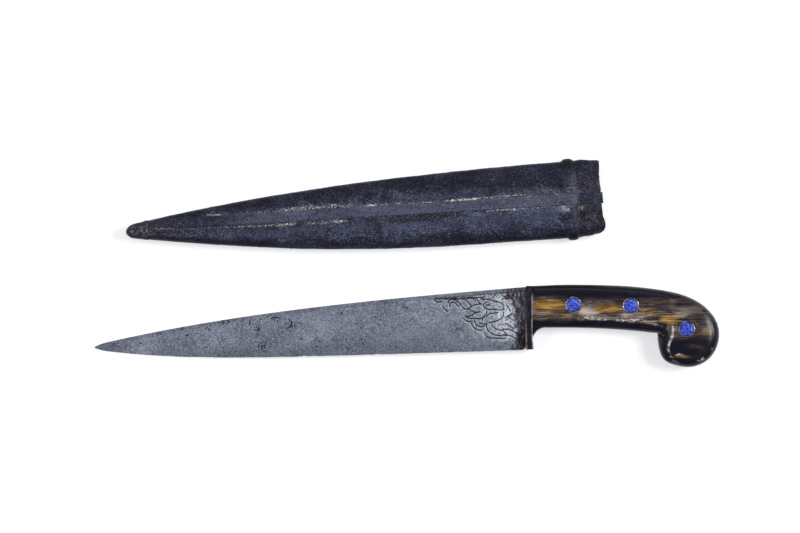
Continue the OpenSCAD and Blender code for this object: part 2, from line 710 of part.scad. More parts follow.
leather_cover();
throat_cord();
tip_cap();
seam_strip();
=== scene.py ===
import math

import bmesh
import bpy
import numpy as np
from mathutils import Matrix, Vector, noise


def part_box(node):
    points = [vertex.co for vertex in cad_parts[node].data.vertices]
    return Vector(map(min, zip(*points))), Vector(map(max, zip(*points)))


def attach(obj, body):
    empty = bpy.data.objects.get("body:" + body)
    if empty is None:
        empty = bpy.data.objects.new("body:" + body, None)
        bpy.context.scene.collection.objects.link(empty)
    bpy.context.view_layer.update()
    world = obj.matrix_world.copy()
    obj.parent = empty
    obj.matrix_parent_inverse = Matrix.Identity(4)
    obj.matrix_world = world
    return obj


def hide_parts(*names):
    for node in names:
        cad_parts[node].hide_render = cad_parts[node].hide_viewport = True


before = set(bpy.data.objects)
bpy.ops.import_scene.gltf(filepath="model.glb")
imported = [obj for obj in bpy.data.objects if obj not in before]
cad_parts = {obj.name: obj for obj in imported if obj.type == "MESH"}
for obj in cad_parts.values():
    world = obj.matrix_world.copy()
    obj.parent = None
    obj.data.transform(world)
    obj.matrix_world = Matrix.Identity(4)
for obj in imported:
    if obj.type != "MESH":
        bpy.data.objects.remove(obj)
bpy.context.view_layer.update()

MM = 0.001

# Sizes repeated from the part, in millimetres
BLADE_LENGTH = 257.4
BACK_RISE, EDGE_DROP, TIP_DROP, TIP_HEIGHT, BELLY = 10.9, 26.4, 25.1, 2.8, 9
BACK_THICK, TIP_THICK, EDGE_THICK, BEVEL_HEIGHT, HEEL_ROUND = 4.4, 1.2, 0.4, 2.4, 2.2
BOLSTER_LENGTH, SHOULDER_RISE, BOLSTER_BEVEL, FOOT_FLARE, BOLSTER_ROUND = 4.2, 0.9, 0.7, 0.6, 8
GRIP_LENGTH, GRIP_FRONT, GRIP_REAR, GRIP_DROP, HOLLOW = 93.3, 5.5, 9.5, 12.9, 8.9
POMMEL_RADIUS, POMMEL_DROP, TOP_ROUND = 18.3, 18.6, 5
TANG_FRONT, TANG_REAR, FIT = 3.5, 2.5, 0.05
RIVETS = {"front": (28.8, 0.5), "middle": (63.2, -0.1), "rear": (96.6, -14.0)}
CUP, CUP_WALL, CUP_FLOOR, CUP_SINK, CUP_PROUD = 9.8, 0.6, 0.6, 2.4, 0.35
HEAD_HEIGHT, STONE_GAP, STONE_SIDE, STONE_DOME, RIVET = 0.7, 0.3, 1.1, 0.6, 3.0
TIP_ROOM, BACK_DEPTH, FRONT_DEPTH, FRONT_DEPTH_TIP, TOE_LIFT, TOE_LENGTH = 13, 7.4, 8, 5.4, 1.8, 60
NOSE, LEATHER, MOUTH, DRAW_TOP, DRAW_LOW, CORD_WIDTH, CORD_HEIGHT = 4.5, 1.3, 14.4, 0.7, 2.1, 3.8, 2.6
LEAN = math.tan(math.radians(5.1))
CAP_THICK, CAP_LENGTH, CAP_PROUD = 0.7, 13.6, 0.3
STRIP_WIDTH, STRIP_TIP, STRIP_MOUTH, STRIP_HEIGHT, STRIP_REACH = 7.2, 0.76, 0.5, 0.9, 0.6
APART = (30.6, 71.4)

GRIP_TOP = BACK_RISE + SHOULDER_RISE
POMMEL_X = BOLSTER_LENGTH + GRIP_LENGTH
POMMEL_TAIL = POMMEL_X + POMMEL_RADIUS
TIP_X = -BLADE_LENGTH - TIP_ROOM
CAP_EDGE = TIP_X + CAP_LENGTH
CORE_END = -EDGE_DROP * LEAN - 2 * FIT
CORD_X = CORE_END - CORD_WIDTH / 2 - FIT
SWELL, SWELL_LENGTH = CORD_HEIGHT / 2 + 3 * FIT, 4.4

# Where the knife and the scabbard lie, read from the frame
def centre(node):
    low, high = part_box(node)
    return (low + high) / 2


front_at, rear_at = centre("rivet_front"), centre("rivet_rear")
tilt = math.atan2(rear_at.z - front_at.z, rear_at.x - front_at.x)
turn = Matrix.Rotation(-tilt, 4, "Y") @ Matrix.Scale(MM, 4)
knife_at = front_at - turn @ Vector((*RIVETS["front"], 0))
scabbard_at = Vector((knife_at.x + APART[0] * MM, knife_at.y + APART[1] * MM, BACK_DEPTH * MM))
AXES = {"knife": Matrix.Translation(knife_at) @ turn,
    "scabbard": Matrix.Translation(scabbard_at) @ Matrix.Scale(MM, 4)}


# Small helpers
def bend(c, t):
    """Smooth curve through the first and last of its control values."""
    c = [np.asarray(v, float) for v in c]
    while len(c) > 1:
        c = [a * (1 - t) + b * t for a, b in zip(c, c[1:])]
    return c[0] + 0 * t


def mix(a, b, t):
    return a + (b - a) * t


def unit(x):
    return np.clip(x, 0, 1)


def step(x, a, b):
    """0 below a, 1 above b, smooth between."""
    t = unit((x - a) / (b - a))
    return t * t * (3 - 2 * t)


def fall(x, a, b):
    """1 below a, 0 above b, smooth between."""
    return 1 - step(x, a, b)


def hump(x, middle, width, power=2):
    """1 in the middle, falling away smoothly over the width."""
    return np.exp(-np.abs((x - middle) / width) ** power)


def places(x, y, table, x_power=2, y_power=2):
    """One hump for each row of a table: its middle along x and y, its reach along x and y, its strength."""
    return [amount * hump(x, cx, rx, x_power) * hump(y, cy, ry, y_power) for cx, cy, rx, ry, amount in table]


def most(first, *others):
    """The greatest of several values, point by point."""
    for other in others:
        first = np.maximum(first, other)
    return first


def read_off(x, table, column=1):
    """A column of a table at x, on straight lines between the rows."""
    rows = np.array(table)
    return np.interp(x, rows[:, 0], rows[:, column])


def rough(points, size, octaves=4, seed=0.0):
    """Fractal noise of about -1 to 1 at rows of points, with features of about that size."""
    shift = Vector((seed * 17.3, seed * -9.1, seed * 5.7))
    return np.array([noise.fractal(Vector(p) / size + shift, 0.6, 2.1, octaves) for p in points])


def spots(points, size):
    """Distance to the nearest of many scattered points, in units of their spacing."""
    return np.array([noise.voronoi(Vector(p) / size)[0][0] for p in points])


def shown(name, data):
    obj = bpy.data.objects.new(name, data)
    bpy.context.scene.collection.objects.link(obj)
    return obj


def keep_sharp(mesh, degrees):
    """Smooth shading, with edges above that angle left sharp."""
    bm = bmesh.new()
    bm.from_mesh(mesh)
    bmesh.ops.recalc_face_normals(bm, faces=bm.faces)
    for edge in bm.edges:
        edge.smooth = len(edge.link_faces) == 2 and edge.calc_face_angle(0) < math.radians(degrees)
    bm.to_mesh(mesh)
    bm.free()


def piece(name, node, body, slot, points, faces, sharp=None, **fields):
    """A mesh piece of the object, given in millimetres on the axes of the knife or the scabbard."""
    mesh = bpy.data.meshes.new(name)
    mesh.from_pydata([tuple(p) for p in points], [], faces)
    mesh.transform(AXES[body])
    for key, values in fields.items():
        mesh.attributes.new(key, "FLOAT", "POINT").data.foreach_set("value", np.asarray(values, np.float32))
    mesh.validate()
    mesh.shade_smooth()
    if sharp:
        keep_sharp(mesh, sharp)
    mesh.materials.append(MATERIALS[slot])
    obj = shown(name, mesh)
    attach(obj, body)
    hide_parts(node)


def tube_faces(rows, around, closed=False):
    """Faces of a tube of rings. Its last ring joins its first if it is closed, else both ends are filled."""
    faces = []
    for r in range(rows if closed else rows - 1):
        a, b = r * around, ((r + 1) % rows) * around
        for k in range(around):
            n = (k + 1) % around
            faces.append((a + k, a + n, b + n, b + k))
    if not closed:
        last = (rows - 1) * around
        faces += [tuple(reversed(range(around))), tuple(range(last, last + around))]
    return faces


# Materials
class Value:
    """A node's output that can be added to, taken from and multiplied like a number."""

    def __init__(self, nodes, socket):
        self.nodes = nodes
        self.socket = socket

    def __add__(self, other):
        return self.nodes.math("ADD", self, other)

    def __sub__(self, other):
        return self.nodes.math("SUBTRACT", self, other)

    def __mul__(self, other):
        return self.nodes.math("MULTIPLY", self, other)


def linear(v):
    """Linear share of a colour's 0 to 255 value as a picture shows it."""
    v /= 255
    return v / 12.92 if v <= 0.04045 else ((v + 0.055) / 1.055) ** 2.4


class Nodes:
    """Short-hand for building a material's nodes. Three numbers are a colour of 0 to 255."""

    def __init__(self, name):
        self.material = bpy.data.materials.new(name)
        self.material.use_nodes = True
        self.tree = self.material.node_tree
        self.shader = self.tree.nodes["Principled BSDF"]
        self.base = None

    def add(self, kind, **settings):
        node = self.tree.nodes.new("ShaderNode" + kind)
        for key, value in settings.items():
            setattr(node, key, value)
        return node

    def put(self, socket, value):
        if isinstance(value, Value):
            self.tree.links.new(value.socket, socket)
        else:
            colour = isinstance(value, tuple) and len(value) == 3 and socket.type == "RGBA"
            socket.default_value = (*map(linear, value), 1) if colour else value

    def give(self, node, **values):
        for key, value in values.items():
            self.put(node.inputs[key.replace("_", " ")], value)

    def fields(self, names):
        """The mesh's fields of those names."""
        nodes = [self.add("Attribute", attribute_name=name) for name in names.split()]
        return [Value(self, node.outputs["Fac"]) for node in nodes]

    def texture(self, kind, output, size, stretch, **values):
        """A texture with features of that many millimetres, stretched along the axes and turned if asked."""
        place = Value(self, self.add("TexCoord").outputs["Object"])
        if stretch:
            mapping = self.add("Mapping")
            turned = math.radians(stretch[3]) if len(stretch) > 3 else 0
            self.give(mapping, Vector=place, Scale=stretch[:3], Rotation=(0, 0, turned))
            place = Value(self, mapping.outputs["Vector"])
        node = self.add(kind)
        self.give(node, Vector=place, Scale=1 / (size * MM), **values)
        return Value(self, node.outputs[output])

    def noise(self, size, detail=4.0, roughness=0.6, stretch=None, distort=0.0):
        values = {"Detail": detail, "Roughness": roughness, "Distortion": distort}
        return self.texture("TexNoise", "Fac", size, stretch, **values)

    def cells(self, size):
        return self.texture("TexVoronoi", "Distance", size, None)

    def math(self, operation, a, b=0.5):
        node = self.add("Math", operation=operation)
        self.put(node.inputs[0], a)
        self.put(node.inputs[1], b)
        return Value(self, node.outputs[0])

    def ramp(self, value, low, high, start=0.0, end=1.0, kind="SMOOTHSTEP"):
        """From start to end as the value runs from low to high."""
        node = self.add("MapRange", interpolation_type=kind)
        self.give(node, Value=value, From_Min=low, From_Max=high, To_Min=start, To_Max=end)
        return Value(self, node.outputs["Result"])

    def line(self, value, low, high, start=0.0, end=1.0):
        return self.ramp(value, low, high, start, end, "LINEAR")

    def most(self, *values):
        first, *others = values
        for other in others:
            first = self.math("MAXIMUM", first, other)
        return first

    def colours(self, value, *stops):
        """Colour ramp through its stops, each a place and a colour."""
        node = self.add("ValToRGB")
        self.put(node.inputs["Fac"], value)
        elements = node.color_ramp.elements
        while len(elements) < len(stops) // 2:
            elements.new(0.5)
        for element, at, colour in zip(elements, stops[::2], stops[1::2]):
            element.position = at
            element.color = (*map(linear, colour), 1)
        return Value(self, node.outputs["Color"])

    def start(self, value, *stops):
        self.base = self.colours(value, *stops)

    def paint(self, share, colour):
        """Lays a colour over what is there, by that share."""
        node = self.add("Mix", data_type="RGBA", clamp_factor=True)
        self.give(node, Factor=share, A=self.base, B=colour)
        self.base = Value(self, next(s for s in node.outputs if s.type == "RGBA"))

    def bump(self, height, depth, strength, below=None):
        node = self.add("Bump")
        self.give(node, Height=height, Distance=depth * MM, Strength=strength)
        if below:
            self.give(node, Normal=below)
        return Value(self, node.outputs["Normal"])

    def done(self, **values):
        """The material, with values or links for the shader's own sockets."""
        self.give(self.shader, Base_Color=self.base, **values)
        return self.material


def steel():
    """Grey forged steel with fine mottle, pits, rust, engraved lines with a painted highlight beside them,
    painted shade under the back's bevel, a dirty band at the grip and a painted highlight on the pale line
    before the bolsters.
    """
    m = Nodes("steel")
    groove, rim, bright, pitted, shade = m.fields("groove rim bright pitted shade")
    rust, band, gold, spine, seam = m.fields("rust band gold spine seam")
    grain = m.line(m.noise(1.1, 4, 0.8), 0.35, 0.65)
    cloud = m.line(m.noise(13, stretch=(0.6, 1, 1)), 0.34, 0.66)
    tone = grain * 0.72 + cloud * 0.28
    m.start(tone, 0.14, (90, 96, 111), 0.5, (134, 140, 156), 0.86, (174, 180, 196))
    m.paint(shade * 0.62, (74, 80, 92))
    m.paint(bright * m.ramp(m.noise(2, 5, 0.8), 0.44, 0.56, 0.05), (232, 237, 245))
    # Curly fine lines between the engraved leaves, where a broad noise crosses its middle value
    middle = m.math("ABSOLUTE", m.noise(3.4, 1.5, 0.5, distort=0.6) - 0.5)
    m.paint(bright * m.ramp(middle, 0.012, 0.03, 1, 0) * 0.45, (62, 62, 74))
    # Painted highlight along the edges of the engraved lines
    m.paint(rim * m.ramp(grain, 0.3, 0.8), (200, 206, 218))
    pits = m.ramp(m.cells(4.2), 0.07, 0.15, 1, 0) * m.ramp(m.noise(12, 2), 0.46, 0.54)
    specks = m.ramp(m.cells(1.6), 0.12, 0.28, 1, 0) * m.ramp(m.noise(7, 4, 0.7), 0.5, 0.6)
    m.paint(specks * 0.45, (66, 66, 78))
    m.paint(pits * 0.85, (42, 40, 46))
    # Clusters of sharp little pits
    reach = pitted * 0.47 + m.noise(4, 3, 0.7) * 0.14
    m.paint(m.ramp(m.cells(1.15) - reach, 0, 0.08, 1, 0) * 0.9, (30, 31, 42))
    stain = m.ramp(rust + m.ramp(m.noise(1.5, 4, 0.8), 0.34, 0.66) * 0.6, 0.8, 1)
    m.paint(stain * 0.85, m.colours(m.noise(1.2, 3), 0.38, (52, 44, 52), 0.6, (116, 98, 99)))
    m.paint(m.ramp(band + m.ramp(m.noise(2.4, 5, 0.8), 0.3, 0.7) * 0.8, 0.65, 1.05),
        m.colours(m.noise(1.2, 4, 0.75, stretch=(1, 0.32, 1)),
            0.36, (20, 17, 27), 0.5, (72, 67, 79), 0.64, (160, 152, 162)))
    m.paint(m.ramp(gold + m.noise(0.7, 5, 0.85), 1.02, 1.16), (188, 178, 142))
    m.paint(spine * 0.35, m.colours(tone, 0.2, (72, 74, 84), 0.8, (98, 100, 110)))
    # The pale line before the bolsters: a painted highlight on the edge
    m.paint(seam * m.ramp(grain, 0.1, 0.6, 0.4), (142, 124, 122))
    # Dark engraved lines; the line under the back's bevel is painted shade
    m.paint(groove, (13, 13, 21))
    dull = m.most(stain, groove, pits) + grain * 0.3
    return m.done(Metallic=0.7, Roughness=m.line(dull, 0, 1, 0.38, 0.72), Specular_IOR_Level=0.4,
        Normal=m.bump(m.noise(0.9, 4, 0.7), 0.06, 0.6, m.bump(m.noise(3, 3), 0.08, 0.6)))


def dark_iron():
    """Blackened iron with a grain along the plates, and two pale edges, rubbed bright and with a painted
    highlight.
    """
    m = Nodes("dark iron")
    front, rear = m.fields("front_wear rear_wear")
    grain = m.noise(1.2, 5, 0.7, stretch=(1, 0.3, 1))
    m.start(grain, 0.34, (10, 10, 20), 0.52, (26, 26, 38), 0.7, (60, 56, 68))
    rub = m.ramp(m.noise(1.8, 4, 0.7, stretch=(1, 0.4, 1)), 0.34, 0.6)
    # Pale front and rear edges: rubbed bright metal with a painted highlight over it
    m.paint(front * rub, (150, 126, 120))
    m.paint(rear * rub, (190, 188, 192))
    return m.done(Metallic=0.3, Roughness=m.line(grain, 0.3, 0.7, 0.3, 0.48), Specular_IOR_Level=0.25,
        Normal=m.bump(m.noise(0.9, 4, 0.7), 0.06, 0.6))


def horn():
    """Dark polished horn: black and grey-brown streaks, amber where it is thin, chipped ridges; with painted
    shade where it rounds away and painted highlights along the ridges and on the pommel's right.
    """
    m = Nodes("horn")
    dark, amber, mauve, chip = m.fields("dark amber mauve chip")
    streak = m.line(m.noise(1.7, 4, 0.7, stretch=(0.13, 1, 0.5, 9), distort=0.5), 0.34, 0.66)
    fibre = m.line(m.noise(0.8, 3, 0.7, stretch=(0.07, 1, 0.5, 9)), 0.36, 0.64)
    cloud = m.line(m.noise(8, 3, stretch=(0.25, 1, 0.5, 9)), 0.34, 0.66)
    tone = streak * 0.45 + (fibre * 0.25 + cloud * 0.3)
    shift = (tone - 0.5) * 0.9 * 0.7
    m.start(tone, 0.2, (25, 20, 21), 0.42, (50, 41, 39), 0.62, (87, 75, 71), 0.85, (130, 116, 110))
    # Grey-mauve patches; on the pommel's right they are a painted highlight
    m.paint(m.ramp(mauve + shift, 0.15, 0.95), m.colours(tone, 0.3, (120, 104, 100), 0.7, (184, 167, 162)))
    m.paint(m.ramp(amber + shift, 0.12, 0.9), m.colours(streak * 0.6 + fibre * 0.4,
        0.1, (86, 60, 26), 0.5, (134, 100, 46), 0.9, (188, 152, 88)))
    # Dark: the horn's own dark streaks, with painted shade where the horn rounds away at its edges
    m.paint(m.ramp(dark + shift, 0.15, 0.85), m.colours(tone, 0.25, (4, 4, 13), 0.75, (18, 17, 32)))
    # Pale chips along the ridges, with painted highlights on them
    flake = m.noise(1.5, 4, 0.8, stretch=(0.4, 1, 1, 9)) + chip * 0.14
    pale = m.ramp(chip, 0.1, 0.7) * m.ramp(flake, 0.54, 0.66)
    m.paint(pale, m.colours(m.noise(2, 3), 0.42, (132, 116, 102), 0.56, (214, 210, 208)))
    return m.done(Roughness=m.line(pale * 0.6 + fibre * 0.5, 0, 1, 0.24, 0.42), Specular_IOR_Level=0.24,
        Normal=m.bump(m.noise(1.2, 4, 0.7, stretch=(0.15, 1, 1, 9)), 0.05, 0.5))


def silver():
    m = Nodes("silver")
    wear = m.noise(1.3, 4, 0.75)
    m.start(wear, 0.38, (60, 60, 70), 0.5, (128, 130, 140), 0.62, (222, 224, 230))
    return m.done(Metallic=0.85, Roughness=m.line(wear, 0.35, 0.65, 0.45, 0.2),
        Normal=m.bump(m.noise(0.7, 3), 0.05, 0.6))


def blue_stone():
    m = Nodes("blue stone")
    mottle = m.noise(1.3, 4, 0.75)
    m.start(mottle, 0.36, (14, 24, 100), 0.46, (40, 56, 160), 0.56, (70, 88, 198), 0.68, (128, 140, 220))
    m.paint(m.ramp(m.cells(1.1), 0.12, 0.24, 1, 0) * 0.6, (18, 24, 84))
    return m.done(Roughness=m.line(mottle, 0.3, 0.7, 0.24, 0.42), Specular_IOR_Level=0.3,
        Normal=m.bump(m.noise(0.9, 4, 0.7), 0.08, 0.7))


def old_leather(name, low, middle, high, rub):
    """Black leather with grain, blotches, dark places with painted shade, a painted blue highlight, rubbed
    brown patches and pale flecks, mostly of wear and on the cap painted highlights.
    """
    m = Nodes(name + " leather")
    dark, sheen, brown, tan, warm = m.fields("dark sheen brown tan warm")
    grain = m.line(m.noise(1.1, 5, 0.85), 0.37, 0.63)
    cloud = m.line(m.noise(9, 5, 0.7, stretch=(0.4, 1, 1)), 0.33, 0.67)
    tone = grain * 0.66 + cloud * 0.34
    m.start(tone, 0.16, low, 0.5, middle, 0.84, high)
    m.paint(warm * 0.8, m.colours(tone, 0.16, (12, 8, 12), 0.5, (50, 43, 49), 0.84, (118, 106, 111)))
    # Painted blue highlight
    m.paint(sheen * m.ramp(tone, 0.1, 0.7, 0.35, 0.8), (62, 68, 90))
    pores = m.ramp(m.cells(1.3), 0.2, 0.4, 1, 0) * m.ramp(m.noise(5, 5, 0.8), 0.4, 0.56)
    m.paint(pores * 0.8, (11, 10, 19))
    # Dark places, with painted shade along the leather's rounded sides and in its folds
    m.paint(m.ramp(dark * 0.26 + m.noise(3.5, 6, 0.85), 0.56, 0.74) * 0.75, (15, 14, 23))
    m.paint(dark * 0.72, m.colours(tone, 0.2, (3, 4, 15), 0.5, (16, 17, 33), 0.85, (62, 64, 88)))
    patch = m.ramp(brown + m.ramp(m.noise(1.6, 5, 0.85), 0.34, 0.66) * 0.7, 0.72, 1.05)
    m.paint(patch * 0.85,
        m.colours(m.noise(1.1, 4, 0.8), 0.4, (9, 8, 17), 0.53, (31, 26, 37), 0.66, (96, 84, 97)))
    chance = m.line(m.noise(0.8, 5, 0.85, stretch=(0.7, 1, 1)), 0.36, 0.64)
    worn = m.ramp(tan + chance - 1, 0, 0.3)
    stars = m.ramp(m.cells(6.5), 0.03, 0.06, 1, 0) * 0.45
    # Pale flecks of wear; on the cap's folds the same colour is a painted highlight
    m.paint(m.most(worn * 0.9, stars),
        m.colours(m.noise(2, 4, 0.8), 0.38, (94, 92, 92), 0.5, rub, 0.59, (232, 232, 234)))
    return m.done(Roughness=m.line(grain, 0, 1, 0.42, 0.62), Specular_IOR_Level=0.18,
        Normal=m.bump(m.cells(1.3), 0.12, 0.5, m.bump(m.noise(2.6, 5, 0.75), 0.25, 0.6)))


def cord_fibre():
    m = Nodes("cord")
    twist = m.noise(0.7, 3, stretch=(1, 0.3, 1))
    m.start(twist, 0.35, (110, 92, 62), 0.65, (186, 166, 124))
    return m.done(Roughness=0.9, Normal=m.bump(twist, 0.1, 0.6))


def core_wood():
    m = Nodes("core wood")
    rings = m.noise(1.6, stretch=(0.08, 1, 1), distort=0.6)
    m.start(rings, 0.35, (112, 84, 54), 0.5, (150, 116, 78), 0.65, (178, 144, 102))
    return m.done(Roughness=0.75, Normal=m.bump(rings, 0.06, 0.5))


def brass():
    m = Nodes("brass")
    wear = m.noise(1)
    m.start(wear, 0.35, (120, 96, 52), 0.65, (196, 168, 104))
    return m.done(Metallic=1.0, Roughness=m.line(wear, 0.3, 0.7, 0.3, 0.5))


MATERIALS = {"watered_steel": steel(), "dark_iron": dark_iron(), "horn": horn(), "silver": silver(),
    "blue_stone": blue_stone(),
    "cover_leather": old_leather("cover", (5, 5, 14), (39, 41, 58), (108, 112, 136), (164, 160, 154)),
    "strip_leather": old_leather("strip", (46, 47, 63), (70, 72, 90), (98, 100, 119), (182, 176, 164)),
    "cap_leather": old_leather("cap", (4, 4, 8), (34, 33, 39), (140, 138, 148), (176, 172, 176))}


# Blade
def back_line(t):
    return mix(TIP_HEIGHT / 2 - TIP_DROP, BACK_RISE, bend([0, 0.44, 0.68, 0.85, 1], t))


def edge_line(t):
    return mix(-TIP_HEIGHT / 2 - TIP_DROP, -EDGE_DROP, t) - BELLY * bend([0, 1, 0.3, 0.3, 0], t)


def heel_cut(x):
    round_off = HEEL_ROUND - np.sqrt(np.maximum(0, HEEL_ROUND ** 2 - (x + HEEL_ROUND) ** 2))
    return np.where(x < -HEEL_ROUND, 0, 0.9 * round_off)


# Engraved lines of the foliage, read off as (along, down) in a grid of 1/17 of 0.6 mm whose corner lies
# 53.7 mm before the bolsters and 10.5 mm above the line of the rivets
STROKE_GRID, STROKE_CORNER = 0.6 / 17, (-53.7, 10.5)
STROKES = [
    [(-51, 161), (-36, 191), (0, 234), (40, 241), (75, 240), (104, 215)],
    [(-51, 153), (0, 182), (45, 192), (90, 182), (125, 158)],
    [(128, 134), (160, 170), (192, 186)],
    [(110, 320), (150, 360), (204, 402)],
    [(274, 128), (325, 165), (370, 190), (420, 176), (490, 170), (530, 166), (560, 154), (620, 156),
        (690, 166), (745, 158), (800, 166), (832, 134)],
    [(140, 196), (210, 178), (290, 176), (340, 186)],
    [(205, 255), (215, 225), (240, 205), (280, 192), (330, 200), (370, 225), (400, 255), (430, 300),
        (460, 340), (492, 362), (522, 360), (560, 345), (600, 315), (640, 290), (690, 280), (745, 275)],
    [(235, 325), (232, 285), (246, 256), (280, 240), (312, 245), (342, 266), (366, 292), (386, 322)],
    [(346, 214), (386, 236), (408, 278)],
    [(425, 182), (485, 190), (522, 214), (552, 252), (584, 296)],
    [(520, 170), (560, 180), (600, 176), (640, 182)],
    [(640, 160), (664, 196), (672, 228)],
    [(690, 168), (708, 222), (738, 256), (772, 284)],
    [(540, 356), (580, 376), (620, 400), (660, 414), (700, 410), (752, 404)],
    [(740, 404), (672, 424), (630, 450), (592, 475), (550, 482), (504, 480)],
    [(506, 486), (560, 514), (630, 520), (690, 520), (742, 520), (790, 510), (830, 490)],
    [(860, 476), (884, 458), (920, 434), (960, 430), (1000, 426), (1052, 418)],
    [(460, 506), (482, 536), (520, 565), (560, 572), (602, 570)],
    [(600, 600), (620, 642), (650, 682), (692, 710), (740, 720), (792, 715)],
    [(650, 560), (664, 592), (692, 632), (732, 655), (790, 656), (822, 650)],
    [(735, 590), (770, 606), (812, 616), (852, 612)],
    [(760, 188), (820, 190), (872, 192), (922, 200), (970, 220), (1030, 235), (1090, 245), (1132, 270),
        (1160, 310), (1152, 352), (1130, 376), (1090, 380), (1050, 366), (1000, 360), (950, 362), (900, 366)],
    [(872, 240), (830, 252), (808, 288), (812, 330), (858, 350), (900, 366)],
    [(844, 312), (868, 284), (900, 284), (912, 304)],
    [(1142, 404), (1152, 450), (1138, 492), (1104, 526), (1044, 554), (982, 575), (900, 588)],
    [(862, 396), (862, 430), (836, 456), (790, 520), (782, 560)],
    [(872, 606), (855, 650), (870, 700), (900, 742), (940, 775), (1000, 800), (1060, 808), (1130, 804),
        (1200, 800), (1260, 810), (1312, 830), (1362, 872)],
    [(946, 624), (970, 660), (1010, 695), (1060, 712), (1112, 718), (1150, 706), (1210, 700), (1262, 708),
        (1312, 726), (1342, 756), (1384, 776)],
    [(820, 760), (840, 808), (880, 840), (940, 850), (1000, 852), (1080, 856), (1180, 860)],
    [(1128, 722), (1160, 745), (1202, 790)],
    [(1180, 602), (1240, 640), (1304, 684)],
    [(1196, 492), (1240, 470), (1292, 440)],
    [(1236, 490), (1272, 520), (1312, 552)],
    [(1206, 300), (1232, 350), (1262, 392)],
    [(962, 166), (985, 132), (1016, 106)],
    [(1110, 212), (1150, 170), (1196, 188), (1242, 160)],
    [(1120, 120), (1160, 150), (1210, 128)],
]
# Rusty places on the blade: middle along and up, reach along and up, and strength
RUST = [(-172, -3, 7, 4, 0.42), (-135, -9.5, 5, 3.6, 0.5), (-126, -16, 3, 2.4, 0.42),
    (-39.3, -14.1, 4.2, 2.6, 0.78), (-33.5, -9.9, 4, 2.2, 0.45), (-215, -20, 16, 4, 0.3),
    (-150, -2, 30, 6, 0.16), (-190, -12, 24, 8, 0.18), (-60, -22, 10, 4, 0.22), (-232, -22, 12, 3, 0.25),
    (-84, 0, 10, 3, 0.2), (-258.6, -25.1, 1.5, 2.4, 0.95), (-141.1, -15.2, 2.6, 1.6, 0.55),
    (-134.2, -19.5, 1.6, 1.6, 0.75), (-71.8, -1.2, 2.2, 1.6, 0.62), (-66, -0.6, 2.4, 1.4, 0.4),
    (-107.8, -25.8, 5, 1.5, 0.35)]
# Brightly rubbed places among the engraved leaves, in the same way
POLISHED = [(-15.8, 5.3, 3.6, 2, 0.7), (-14.6, -5.4, 2.2, 3, 0.6), (-9.2, -7.2, 2.2, 2.8, 0.6),
    (-13.4, -16, 3, 1.6, 0.6), (-20.5, -5.4, 1.8, 1.6, 0.5), (-13.4, -0.7, 1.6, 2.4, 0.5)]
# Clusters of pits
PITTED = [(-205.8, -13.9, 2, 1.6, 1), (-203.1, -17.9, 2.6, 1, 1), (-221.3, -16.9, 5, 1.2, 0.9),
    (-181.5, -9.8, 4.8, 2, 1.1), (-189.6, -13.9, 3.4, 2.2, 0.8), (-195.6, -11.9, 4, 1.6, 0.7),
    (-165.7, -10.5, 1.4, 2.8, 0.9), (-160.7, -13.2, 1.8, 4.4, 1.1), (-158.7, -7.5, 2.2, 1.6, 1.1),
    (-154.8, -5.6, 2.6, 1.2, 1.1), (-157.7, -24.8, 3.2, 4.8, 1), (-183, -21.3, 2.6, 3.2, 0.7),
    (-180.9, -28, 1, 1, 0.9), (-246.2, -24, 4, 1.6, 0.8), (-232, -22.6, 2.6, 1.6, 0.8),
    (-217.9, -20.6, 2.2, 2.2, 0.6), (-213.2, -24.7, 1, 1, 0.8), (-192.3, -24.7, 1.6, 1.6, 0.7),
    (-150.1, -7.8, 3.2, 2.2, 1.1), (-141.1, -11.4, 3.4, 3.4, 1), (-125.8, -21.6, 3.2, 5, 0.8),
    (-110.6, -5, 1, 1, 1), (-117.5, -11.6, 1, 1, 0.9), (-91.9, -6.4, 1.8, 1.2, 0.8),
    (-97.4, -13, 1.1, 1, 0.9), (-98.2, -20.9, 3, 2, 0.7), (-84.7, 1.6, 1.1, 1, 1),
    (-71.8, -1.2, 1.6, 1.4, 1), (-79.8, -14, 1, 1, 0.8), (-76.7, -23.7, 3, 1.6, 0.6),
    (-107.8, -25.8, 5, 1.6, 0.6)]
# How far the point runs past the plain outline, how much fuller the outlines are, and points down each side
POINT, FULLER, LEVELS = 1.5, 0.2, 120
ENGRAVED_FROM = -60


def stroke_segments():
    """The strokes as short straight pieces, after smoothing their corners, in millimetres."""
    pieces = []
    for stroke in STROKES:
        p = np.array(stroke, float)
        for _ in range(2):
            cut = np.empty((2 * len(p) - 2, 2))
            cut[0::2], cut[1::2] = mix(p[:-1], p[1:], 0.25), mix(p[:-1], p[1:], 0.75)
            p = np.vstack([p[:1], cut, p[-1:]])
        p = np.c_[p[:, 0] * STROKE_GRID + STROKE_CORNER[0], STROKE_CORNER[1] - p[:, 1] * STROKE_GRID]
        pieces.append(np.hstack([p[:-1], p[1:]]))
    return np.vstack(pieces)


def distance_to(segments, x, y):
    """Distance from each point to the nearest of the straight pieces."""
    a, d = segments[:, :2], segments[:, 2:] - segments[:, :2]
    length = np.maximum((d ** 2).sum(1), 1e-9)
    best = np.full(len(x), 99)
    for (ax, ay), (dx, dy), l2 in zip(a, d, length):
        s = unit(((x - ax) * dx + (y - ay) * dy) / l2)
        best = np.minimum(best, np.hypot(x - ax - s * dx, y - ay - s * dy))
    return best


def pale_seam(y):
    """Where the pale line before the bolsters runs: it leans from the blade onto the plates."""
    return -1.0 + 0.0443 * (12 - y)


